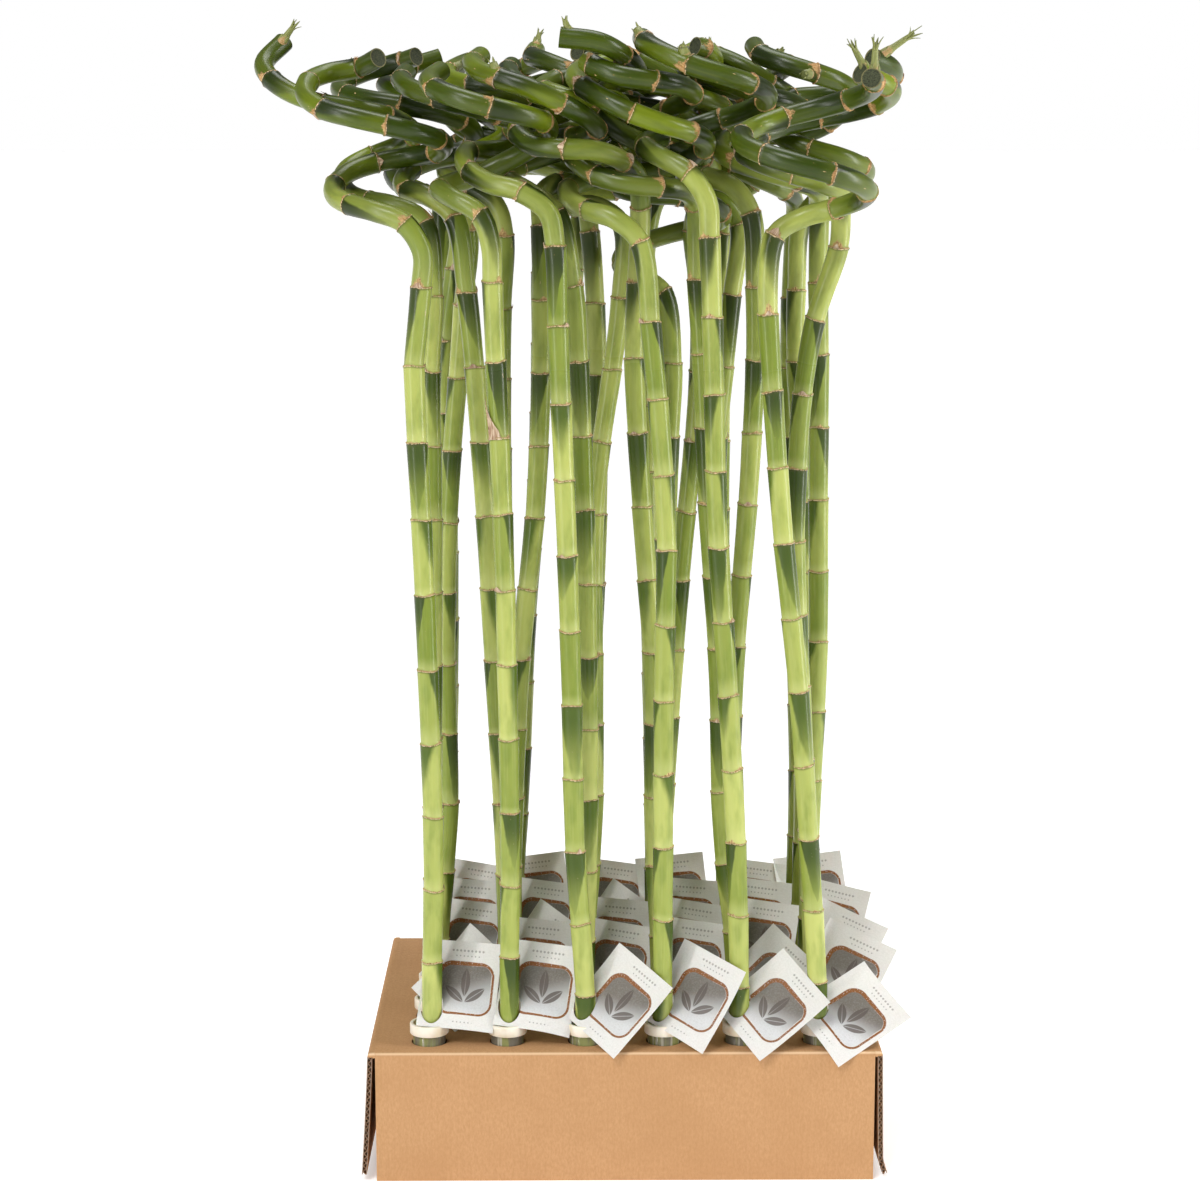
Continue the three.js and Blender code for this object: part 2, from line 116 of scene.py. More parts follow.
# Young shoots: from the middle of the cane's cut end to the shoot's tip, in some cells
SHOOT_TIP = 0.8
SHOOTS = {
    (1, 6): (2, 0, 24), (2, 1): (9, -2, 13), (2, 4): (2, 0, 12), (2, 6): (-7, 0, 20),
    (4, 3): (3, 0, 13), (4, 6): (30, 0, 18), (5, 5): (10, 0, 6), (5, 6): (0, 0, 11),
}
SHOOT = dict(sunk=5.0, aside=3.4, foot=[(-1.5, 3.3), (1.6, 3.3)],
             stalk=[(0.2, 2.8), (0.28, 2.2), (0.36, 2.0), (0.55, 1.8), (0.7, 1.5), (0.8, 0.6)])
TUFT = dict(count=6, turn=0.2, first=0.34, step=0.06, out=1.0, length=(0.8, 1.0), width=2.3,
            spread=(0.1, 0.2))
SCALES = dict(count=4, turn=0.3, up=0.6, out=2.7, longest=6.0, share=0.42, length=(0.7, 1.0), width=3.6,
              spread=0.3)
BLADE = dict(rows=8, columns=5, taper=0.65, thinnest=0.12, bulge=0.55, thickness=0.32)

# Side shoots trimmed to stubs: their chance at the last ring but one and at the last
STUB = dict(chances=(0.35, 0.75), from_end=9.0, above=3.4, sunk=2.6, radius=(2.48, 3.41), reach=(5.12, 8.06),
            tufted=0.5, blades=3, blade=(3.2, 5.6), blade_width=2.4, blade_spread=0.7)
SPIKE_SIDES = 12

# Camera: its place, how far it looks down and to the right, and its focal length in picture widths
CAMERA = dict(place=(-28.7, -1660.6, 630.8), down=10.05, right=0.50, focal=2689.5 / 1200.0)
SENSOR = 36.0

# Lights, in metres: each panel's place, size and watts, and the point that all of them face
SUN = dict(down=52.0, turn=-30.0, strength=1.22, angle=20.0)
PANELS = [
    ("key_panel", (-1.15, -1.1, 0.8), (0.15, 1.5), 9.5),
    ("side_panel", (1.39, -0.34, 0.75), (0.26, 1.45), 15.5),
    ("top_panel", (0.1, 0.35, 1.75), (0.9, 0.6), 8.0),
]
AIM = (0.0, 0.0, 0.45)
FLOOR_HALF = 60.0

# Each is a ramp: where it starts and ends, and its value there. The sky's runs over the ray's rise
SKY = (0.05, 0.26, 1.0, 0.22)
FLOOR_GLOW = (0.5, 3.0, 0.38, 0.55)


def column_x(column):
    return (column - (COLUMNS + 1) / 2) * PITCH


def row_y(row):
    return (row - (ROWS + 1) / 2) * PITCH


def srgb(red, green, blue):
    def linear(v):
        v /= 255.0
        return v / 12.92 if v <= 0.04045 else ((v + 0.055) / 1.055) ** 2.4
    return tuple(linear(v) for v in (red, green, blue))


# Node graphs
class Wire:
    """The output of a node, with arithmetic that adds the nodes it takes."""

    def __init__(self, graph, socket):
        self.graph, self.socket = graph, socket

    def __add__(self, other):
        return self.graph.math("ADD", self, other)

    def __mul__(self, other):
        return self.graph.math("MULTIPLY", self, other)

    def __sub__(self, other):
        return self.graph.math("SUBTRACT", self, other)

    def __rsub__(self, other):
        return self.graph.math("SUBTRACT", other, self)

    def __truediv__(self, other):
        return self.graph.math("DIVIDE", self, other)

    def __abs__(self):
        return self.graph.math("ABSOLUTE", self)


class Graph:
    """The node tree of a material or world, built up by small calls that take wires or numbers."""

    SOCKETS = {
        "colour": "Base Color", "roughness": "Roughness", "normal": "Normal",
        "specular": "Specular IOR Level", "transmission": "Transmission Weight", "ior": "IOR",
        "subsurface": "Subsurface Weight", "subsurface_scale": "Subsurface Scale",
        "emission": "Emission Color", "emission_strength": "Emission Strength",
    }

    def __init__(self, owner):
        owner.use_nodes = True
        self.owner, self.tree = owner, owner.node_tree

    def node(self, kind, inputs=(), output=0, **settings):
        made = self.tree.nodes.new(kind)
        for key, value in settings.items():
            setattr(made, key, value)
        for key, value in dict(inputs).items():
            self.put(made.inputs[key], value)
        return Wire(self, made.outputs[output])

    def put(self, socket, value):
        if isinstance(value, Wire):
            self.tree.links.new(value.socket, socket)
        elif isinstance(value, tuple) and socket.type == "RGBA":
            socket.default_value = value + (1.0,)
        else:
            socket.default_value = value

    def attribute(self, name, output="Fac"):
        return self.node("ShaderNodeAttribute", output=output, attribute_name=name)

    def place(self, output="Object"):
        return self.node("ShaderNodeTexCoord", output=output)

    def math(self, operation, a, b=0.0):
        return self.node("ShaderNodeMath", {0: a, 1: b}, operation=operation)

    def larger(self, a, b):
        return self.math("MAXIMUM", a, b)

    def length(self, a, b):
        return self.math("SQRT", a * a + b * b)

    def turn(self, x, y):
        """How far (x, y) is turned from the x axis, either way."""
        return abs(self.math("ARCTAN2", y, x))

    def ramp(self, value, low, high, out_low=0.0, out_high=1.0):
        inputs = {0: value, 1: low, 2: high, 3: out_low, 4: out_high}
        return self.node("ShaderNodeMapRange", inputs, interpolation_type="SMOOTHSTEP")

    def noise(self, vector, scale=1.0, detail=3.0, roughness=0.55):
        """Noise from 0 to 1 at one scale, or stretched by three scales."""
        if isinstance(scale, tuple):
            vector, scale = self.node("ShaderNodeMapping", {"Vector": vector, "Scale": scale}), 1.0
        inputs = {"Vector": vector, "Scale": scale, "Detail": detail, "Roughness": roughness}
        return self.node("ShaderNodeTexNoise", inputs)

    def split(self, vector):
        separate = self.node("ShaderNodeSeparateXYZ", {0: vector}).socket.node
        return tuple(Wire(self, socket) for socket in separate.outputs)

    def mix(self, share, a, b):
        return self.node("ShaderNodeMix", {0: share, 6: a, 7: b}, 2, data_type="RGBA")

    def layers(self, colour, *layers):
        """A colour with layers laid over it, each a share and a colour."""
        for share, layer in layers:
            colour = self.mix(share, colour, layer)
        return colour

    def bump(self, height, strength, distance):
        return self.node("ShaderNodeBump", {"Height": height, "Strength": strength, "Distance": distance})

    def finish(self, **inputs):
        shader = self.tree.nodes["Principled BSDF"]
        for key, value in inputs.items():
            self.put(shader.inputs[self.SOCKETS[key]], value)
        return self.owner


def material(name):
    return Graph(bpy.data.materials.new(name))


def jitter(noise, amount):
    """The noise spread over the amount, half of it to either side of zero."""
    return noise * amount - amount / 2


# Materials of the plant
def rind_material():
    """Green rind, darker in the coil: a ragged tan line at each ring and a dark wedge below it."""
    g = material("cane_rind")
    co = g.attribute("stem_co", "Vector")
    gap, age, tint, wedge_width = (g.attribute(name) for name in ("ring_gap", "age", "tint", "wedge_width"))
    husk_x, husk_y, husk_up = g.split(g.attribute("husk_mark", "Vector"))
    wedge_x, wedge_y, wedge_down = g.split(g.attribute("wedge_mark", "Vector"))
    streaks = g.noise(co, (0.7, 0.7, 0.03), 3.0, 0.5)
    clouds = g.noise(co, (0.14, 0.14, 0.045), 3.0, 0.5)
    fibres = g.noise(co, (2.4, 2.4, 0.3), 3.0, 0.65)
    rough_edge = g.noise(co, (0.7, 0.7, 0.5), 4.0, 0.7)

    low = g.mix(tint, srgb(135, 150, 57), srgb(191, 197, 111))
    middle = g.mix(tint, srgb(113, 130, 37), srgb(176, 184, 95))
    crown = g.mix(tint * tint, srgb(49, 65, 3), srgb(117, 133, 22))
    shaded = g.mix(g.ramp(age, 0.5, 0.9), srgb(101, 124, 38), srgb(40, 56, 4))
    light = g.mix(g.ramp(age, 0.55, 0.9), srgb(214, 216, 142), srgb(132, 142, 46))
    colour = g.layers(
        low,
        (g.ramp(age, 0.05, 0.6), middle),
        (g.ramp(age, 0.7, 0.92), crown),
        (g.ramp(clouds, 0.4, 0.72, 0.0, 0.42), shaded),
        (g.ramp(streaks, 0.5, 0.8, 0.0, 0.14), light),
        (g.ramp(husk_up, 0.0, 5.0, 0.4, 0.0) * g.ramp(age, 0.6, 0.9, 0.8, 0.3), light),
    )

    narrowing = g.math("POWER", g.larger(1.0 - wedge_down, 0.0), 0.75)
    inside = narrowing * wedge_width - g.turn(wedge_x, wedge_y) + jitter(clouds, 0.7)
    softness = tint * tint * 0.45 + 0.07
    wedge = g.ramp(inside / softness, -1.0, 1.0) * g.ramp(wedge_down, 0.15, 1.1, 0.97, 0.2)
    dark = g.mix(tint, srgb(44, 63, 4), srgb(77, 100, 14))
    dark = g.mix(g.ramp(age, 0.45, 0.85), dark, srgb(32, 45, 3))
    # Painted shade: a dark band just below each ring, under its downward-facing flare.
    under = g.ramp(gap, 0.5, 2.0, 0.6, 0.0) * g.ramp(husk_up, 2.0, 4.0)
    colour = g.layers(colour, (wedge, dark), (under, srgb(70, 66, 26)))

    husk_turn = g.turn(husk_x, husk_y)
    peak = 1.0 - husk_up - husk_turn * g.ramp(age, 0.6, 0.8, 1.3, 0.85)
    other_peak = g.ramp(age, 0.6, 0.8, 0.6, 0.95) - husk_up - (math.pi - husk_turn) * 0.95
    peak = g.larger(peak, other_peak) + jitter(rough_edge, 1.8)
    ring = g.ramp(gap + jitter(rough_edge, 2.2), 0.22, 0.5, 1.0, 0.0)
    bark = g.larger(ring, g.ramp(peak, 0.1, 0.35) * g.ramp(husk_up, 0.9, 1.3, 1.0, 0.0))
    husk = g.layers(
        g.mix(g.ramp(fibres, 0.32, 0.66), srgb(148, 104, 54), srgb(230, 202, 148)),
        (g.ramp(age, 0.6, 0.9, 0.0, 0.45), srgb(176, 122, 66)),
        (g.ramp(rough_edge, 0.52, 0.7, 0.0, 0.75), srgb(112, 68, 38)),
        (g.ramp(wedge_down, 0.01, 0.04, 1.0, 0.0) * g.ramp(gap, 0.6, 1.0, 0.6, 0.0), srgb(238, 216, 176)),
        (g.ramp(wedge_down, 0.01, 0.04) * g.ramp(gap, 0.35, 0.8, 0.4, 0.0), srgb(104, 66, 38)),
    )

    scars = g.ramp(g.noise(co, (0.36, 0.36, 0.12), 3.0, 0.6), 0.71, 0.735)
    specks = g.ramp(g.noise(co, (0.7, 0.7, 0.45), 2.0, 0.5), 0.72, 0.77)
    colour = g.layers(
        colour,
        (bark * 0.95, husk),
        (scars * g.ramp(age, 0.5, 0.8, 0.25, 0.9), srgb(196, 168, 118)),
        (specks * 0.5, srgb(150, 126, 78)),
    )
    roughness = g.ramp(age, 0.4, 0.9, 0.26, 0.29) + g.larger(bark, specks) * 0.5
    height = streaks * 0.035 + bark * (fibres * 1.6 + 0.6)
    return g.finish(colour=colour, roughness=roughness, normal=g.bump(height, 0.4, 0.0003),
                    specular=0.35, subsurface=0.05, subsurface_scale=0.003)


def husk_material():
    """Dry tan scraps of old leaf sheaths."""
    g = material("dry_husk")
    co = g.attribute("stem_co", "Vector")
    fibres = g.noise(co, (2.2, 2.2, 0.12), 4.0, 0.6)
    stains = g.noise(co, (0.4, 0.4, 0.15), 3.0, 0.6)
    colour = g.mix(g.ramp(fibres, 0.3, 0.68), srgb(142, 104, 74), srgb(220, 200, 172))
    colour = g.mix(g.ramp(stains, 0.45, 0.7, 0.0, 0.7), colour, srgb(132, 88, 56))
    return g.finish(colour=colour, roughness=0.8, normal=g.bump(fibres, 0.6, 0.0003))


def cut_material():
    """Sealed cut end: dark and waxy, in faint rings, with a thin paler rim."""
    g = material("cut_end")
    co = g.attribute("stem_co", "Vector")
    x, y, _ = g.split(co)
    grain = g.noise(co, 1.4, 4.0, 0.7)
    edge = g.length(x, y) + jitter(grain, 2.0)
    circles = g.math("SINE", edge * 2.6) * 0.5 + 0.5
    colour = g.layers(
        g.mix(g.ramp(grain, 0.35, 0.65), srgb(34, 38, 22), srgb(86, 92, 64)),
        (circles * 0.12, srgb(112, 116, 88)),
        (g.ramp(edge, 5.0, 5.7, 0.0, 0.85), srgb(158, 150, 100)),
    )
    return g.finish(colour=colour, roughness=g.ramp(grain, 0.3, 0.7, 0.4, 0.65), specular=0.3,
                    normal=g.bump(grain, 0.9, 0.0008))


def shoot_material():
    """Young shoot: pale green, veined lengthwise, tan where old scales cling to its foot."""
    g = material("young_shoot")
    co = g.attribute("stem_co", "Vector")
    up = g.attribute("age")
    veins = g.noise(co, (3.0, 3.0, 0.12), 3.0, 0.6)
    patches = g.noise(co, 0.5, 3.0, 0.6)
    colour = g.layers(
        g.mix(veins, srgb(82, 94, 36), srgb(160, 162, 92)),
        (g.ramp(up + jitter(patches, 0.5), 0.14, 0.36, 0.8, 0.0), srgb(184, 142, 94)),
        (g.ramp(up, 0.8, 1.0, 0.0, 0.6), srgb(84, 92, 44)),
    )
    return g.finish(colour=colour, roughness=0.42, normal=g.bump(veins, 0.4, 0.0003))


# Materials of the vials, tags and carton
def collar_material():
    g = material("cap_ring_plastic")
    stain = g.noise(g.place(), 55.0)
    dust = g.noise(g.place(), 420.0, 2.0, 0.6)
    colour = g.mix(g.ramp(stain, 0.42, 0.7), srgb(240, 233, 217), srgb(220, 205, 178))
    return g.finish(colour=colour, roughness=g.ramp(dust, 0.3, 0.7, 0.32, 0.5),
                    normal=g.bump(dust, 0.1, 0.0002), subsurface=0.1, subsurface_scale=0.003)


def tube_material():
    """Clear tube: painted grey and green streaks from top to bottom stand for what is seen through it, with
    painted white glints; its roughness is smeared.
    """
    g = material("clear_tube")
    smear = g.noise(g.place(), 90.0, 3.0, 0.6)
    # Painted light: vertical grey and green streaks for what is seen through the tube, and painted white
    # glints.
    painted_view_through = g.noise(g.place(), (95.0, 95.0, 14.0), 3.0, 0.6)
    glint = g.noise(g.place(), (330.0, 330.0, 18.0), 2.0, 0.5)
    colour = g.mix(g.ramp(painted_view_through, 0.42, 0.56), srgb(122, 116, 100), srgb(152, 156, 92))
    colour = g.mix(g.ramp(glint, 0.55, 0.68, 0.0, 0.75), colour, srgb(200, 196, 180))
    return g.finish(colour=colour, roughness=g.ramp(smear, 0.4, 0.75, 0.05, 0.16),
                    transmission=0.25, ior=1.4)


def water_material():
    g = material("vial_water")
    ripple = g.noise(g.place(), 120.0, 2.0, 0.5)
    return g.finish(colour=srgb(214, 212, 160), roughness=0.05, transmission=0.86, ior=1.33,
                    normal=g.bump(ripple, 0.05, 0.0003))


def leaf_mask(g, across, up, centre, angle, length):
    """1 inside a pointed leaf, the shape that two circles share, and less along its vein."""
    width = PRINT["leaf_width"]
    c, s = math.cos(math.radians(angle)), math.sin(math.radians(angle))
    x, y = across - centre[0], up - centre[1]
    side = abs(y * c - x * s)
    radius = (length ** 2 + width ** 2) / (4 * width)
    reach = g.length(x * c + y * s, side + (radius - width / 2))
    blade = g.ramp(reach, radius - 0.18, radius + 0.18, 1.0, 0.0)
    return blade * (g.ramp(side, 0.12, 0.34) * 0.65 + 0.35)


def frame_distance(g, across, up):
    """Distance to the outline of the print's rounded panel, negative inside."""
    (x, y), (half_x, half_y), corner = PRINT["centre"], PRINT["half"], PRINT["corner"]
    dx = abs(across - x) - (half_x - corner)
    dy = abs(up - y) - (half_y - corner)
    outside = g.length(g.larger(dx, 0.0), g.larger(dy, 0.0))
    return outside + g.math("MINIMUM", g.larger(dx, dy), 0.0) - corner


def tag_material():
    """Printed paper: a grey panel with three leaves in a brushed brown frame, and rows of dots."""
    g = material("printed_paper")
    co = g.attribute("tag_co", "Vector")
    across, up, _ = g.split(co)
    grain = g.noise(co, 1.3, 4.0, 0.6)
    wobble = jitter(g.noise(co, 0.22, 3.0, 0.6), 2.4)
    bristle = g.noise(co, 1.2, 4.0, 0.7)
    panel = frame_distance(g, across, up) + wobble * 0.6
    paper = g.mix(g.ramp(grain, 0.3, 0.7), srgb(215, 213, 208), srgb(225, 223, 219))
    wash = g.mix(g.ramp(up - across * 0.45, -10.0, 12.0), srgb(208, 209, 210), srgb(106, 100, 92))
    wash = g.mix(g.ramp(bristle, 0.4, 0.7, 0.0, 0.3), wash, srgb(160, 156, 150))
    colour = g.mix(g.ramp(panel, -0.3, 0.2, 1.0, 0.0), paper, wash)
    for leaf in PRINT_LEAVES:
        colour = g.mix(leaf_mask(g, across, up, *leaf) * 0.85, colour, srgb(84, 74, 68))
    width = g.ramp(across - up * 0.8, -18.0, 24.0, 1.35, 0.65)
    line = abs(panel - (wobble * 0.5 + 1.0)) - width
    brush = g.ramp(line, -0.15, 0.2, 1.0, 0.0) * g.ramp(bristle, 0.32, 0.42)
    colour = g.mix(brush, colour, srgb(132, 80, 34))
    for level, half, bead in PRINT_DOTS:
        near = g.length(up - level, g.math("PINGPONG", across, PRINT["dot_gap"]))
        within = g.ramp(abs(across - PRINT["centre"][0]), half, half + 0.1, 1.0, 0.0)
        dots = g.ramp(near, bead - 0.1, bead + 0.1, 1.0, 0.0) * within
        colour = g.mix(dots * 0.7, colour, srgb(140, 136, 130))
    return g.finish(colour=colour, roughness=0.5, normal=g.bump(grain + wobble, 0.08, 0.0004),
                    specular=0.4, subsurface=0.08, subsurface_scale=0.001)


def board_material():
    """Kraft board: fibres along the grain, clouds and specks, the flutes showing through faintly as bumps
    under faint painted shade lines, and a painted highlight along the top's long folds.
    """
    g = material("kraft_board")
    place = g.place()
    x, y, z = g.split(place)
    fibres = g.noise(place, (800.0, 420.0, 360.0), 4.0, 0.65)
    clouds = g.noise(place, 22.0, 4.0, 0.6)
    specks = g.noise(place, 1300.0, 2.0, 0.5)
    flute = g.math("SINE", x * (2 * math.pi / (FLUTE["length"] * MM)))
    # Painted highlight: a lighter line along the top's long folds, where the rounded fold catches light.
    painted_fold_highlight = [g.ramp(wire, (edge - 1.7) * MM, (edge - 0.9) * MM)
               for wire, edge in ((abs(y), CARTON["width"] / 2), (z, CARTON["height"]))]
    colour = g.layers(
        g.mix(g.ramp(fibres, 0.25, 0.75), srgb(184, 140, 97), srgb(198, 154, 111)),
        (g.ramp(clouds, 0.35, 0.7, 0.0, 0.4), srgb(178, 134, 91)),
        (g.ramp(specks, 0.68, 0.76, 0.0, 0.4), srgb(146, 104, 66)),
        # Painted shade: faint darker lines along the flutes.
        (flute * 0.02 + 0.02, srgb(150, 106, 66)),
        (painted_fold_highlight[0] * painted_fold_highlight[1] * 0.8, srgb(228, 196, 158)),
    )
    return g.finish(colour=colour, roughness=0.82, normal=g.bump(fibres * 0.5 + flute * 0.2, 0.2, 0.0003),
                    specular=0.2)


def board_edge_material():
    """The cut edge of fluted board: fibrous, and greyer and darker than its liners as painted shade."""
    g = material("board_edge")
    fibres = g.noise(g.place(), (2600.0, 2600.0, 900.0), 3.0, 0.7)
    # Painted shade: the edge's darker, greyer colour.
    colour = g.mix(g.ramp(fibres, 0.35, 0.65), srgb(104, 82, 66), srgb(164, 144, 126))
    return g.finish(colour=colour, roughness=0.9, normal=g.bump(fibres, 0.5, 0.0003), specular=0.2)


def floor_material():
    """White floor with a faint glow that grows away from the part, so that it meets the sky unseen."""
    g = material("studio_floor")
    mottle = g.noise(g.place(), 3.0)
    x, y, _ = g.split(g.place())
    glow = g.ramp(g.length(x, y), *FLOOR_GLOW)
    return g.finish(colour=g.mix(mottle, (0.93, 0.93, 0.93), (0.96, 0.96, 0.96)), roughness=0.95,
                    specular=0.05, emission=(1.0, 1.0, 1.0), emission_strength=glow)


# Meshes
def linked(name, data):
    """A new object in the scene."""
    made = bpy.data.objects.new(name, data)
    bpy.context.scene.collection.objects.link(made)
    return made


class Build:
    """Collects the points, faces and attributes of one object, in millimetres."""

    def __init__(self):
        self.points, self.faces, self.slots, self.values = [], [], [], {}

    def add(self, points, faces, slot=0, **values):
        base = len(self.points)
        self.points.extend(np.asarray(points, float).tolist())
        self.faces.extend([base + int(i) for i in face] for face in faces)
        self.slots.extend(slot if isinstance(slot, list) else [slot] * len(faces))
        for name, given in values.items():
            self.values.setdefault(name, []).append((base, np.asarray(given, float)))

    def make(self, name, materials, sharp):
        mesh = bpy.data.meshes.new(name)
        mesh.from_pydata((np.array(self.points) * MM).tolist(), [], self.faces)
        for look in materials:
            mesh.materials.append(look)
        mesh.polygons.foreach_set("material_index", np.array(self.slots, np.int32))
        mesh.polygons.foreach_set("use_smooth", np.ones(len(mesh.polygons), bool))
        for key, parts in self.values.items():
            wide = parts[0][1].ndim == 2
            whole = np.zeros((len(self.points), 3) if wide else len(self.points), np.float32)
            for base, given in parts:
                whole[base:base + len(given)] = given
            made = mesh.attributes.new(key, "FLOAT_VECTOR" if wide else "FLOAT", "POINT")
            made.data.foreach_set("vector" if wide else "value", whole.ravel())
        work = bmesh.new()
        work.from_mesh(mesh)
        bmesh.ops.recalc_face_normals(work, faces=work.faces)
        work.to_mesh(mesh)
        work.free()
        mesh.set_sharp_from_angle(angle=math.radians(sharp))
        return linked(name, mesh)


def piece(obj, nodes):
    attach(obj, "root")
    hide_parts(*nodes)
    return obj


def around(sides):
    return np.arange(sides) * 2 * math.pi / sides


def tube_faces(rings, sides):
    """Quads between rings of points, with both ends left open."""
    return [(a + j, a + (j + 1) % sides, a + sides + (j + 1) % sides, a + sides + j)
            for a in range(0, (rings - 1) * sides, sides) for j in range(sides)]


def closed_tube_faces(rings, sides):
    last = (rings - 1) * sides
    return tube_faces(rings, sides) + [tuple(range(sides - 1, -1, -1)), tuple(range(last, last + sides))]


def turned(profile, sides, x, y):
    """Rings of points: a profile of (radius, z) turned about an upright axis."""
    return [(x + r * math.cos(a), y + r * math.sin(a), z) for r, z in profile for a in around(sides)]


def lathe(profile, sides, x, y):
    """A closed profile turned about an upright axis that it doesn't meet."""
    last = (len(profile) - 1) * sides
    closing = [(last + j, last + (j + 1) % sides, (j + 1) % sides, j) for j in range(sides)]
    return turned(profile, sides, x, y), tube_faces(len(profile), sides) + closing


def arc(cx, cy, radius, start, end, steps=5):
    return [(cx + radius * math.cos(math.radians(a)), cy + radius * math.sin(math.radians(a)))
            for a in np.linspace(start, end, steps)]


# Canes
def read_rings(node):
    """Middles and radii of the cross-sections of a packed cane, foot first, and the corners past the last."""
    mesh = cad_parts[node].data
    co = np.empty(len(mesh.vertices) * 3)
    mesh.vertices.foreach_get("co", co)
    keys, index = {}, []
    for p in np.round(co.reshape(-1, 3) / MM, 2):
        index.append(keys.setdefault(tuple(p), len(keys)))
    points = np.array(list(keys))
    near = [set() for _ in points]
    for edge in mesh.edges:
        a, b = (index[v] for v in edge.vertices)
        near[a].add(b)
        near[b].add(a)
    layer = list(np.flatnonzero(points[:, 2] < points[:, 2].min() + 0.5))
    seen, sides = set(layer), len(layer)
    middles, radii = [], []
    while len(layer) == sides:
        ring = points[layer]
        middle = ring.mean(0)
        radius = np.linalg.norm(ring - middle, axis=1)
        if radius.max() > 1.2 * radius.min():
            break
        middles.append(middle)
        radii.append(radius.mean())
        layer = sorted(set().union(*(near[i] for i in layer)) - seen)
        seen.update(layer)
    rest = sorted(set(range(len(points))) - seen | set(layer))
    return middles, radii, points[rest]


def shoot_tip(rest, root):
    """The middle of the four-cornered ring that ends a young shoot, the furthest such ring from its root."""
    gaps = np.linalg.norm(rest[:, None] - rest[None], axis=2)
    rings = [rest[row < 2 * SHOOT_TIP + 0.1] for row in gaps]
    middles = [ring.mean(0) for ring in rings if len(ring) == 4]
    return max(middles, key=lambda middle: np.linalg.norm(middle - root))


def between(a, b, low, high, u):
    return ((high - u) * a + (u - low) * b) / (high - low)


def curve_through(points, step):
    """A centripetal curve through the points, and the index in it of each of them."""
    p = np.vstack([2 * points[0] - points[1], points, 2 * points[-1] - points[-2]])
    out, marks = [], []
    for i in range(1, len(p) - 2):
        four = p[i - 1:i + 3]
        t = np.concatenate([[0.0], np.cumsum(np.sqrt(np.linalg.norm(np.diff(four, axis=0), axis=1)))])
        marks.append(len(out))
        count = max(2, int(round(np.linalg.norm(p[i + 1] - p[i]) / step)))
        for u in np.linspace(t[1], t[2], count, endpoint=False):
            a = [between(four[k], four[k + 1], t[k], t[k + 1], u) for k in range(3)]
            b = [between(a[k], a[k + 1], t[k], t[k + 2], u) for k in range(2)]
            out.append(between(b[0], b[1], t[1], t[2], u))
    marks.append(len(out))
    out.append(p[-2])
    return np.array(out), marks


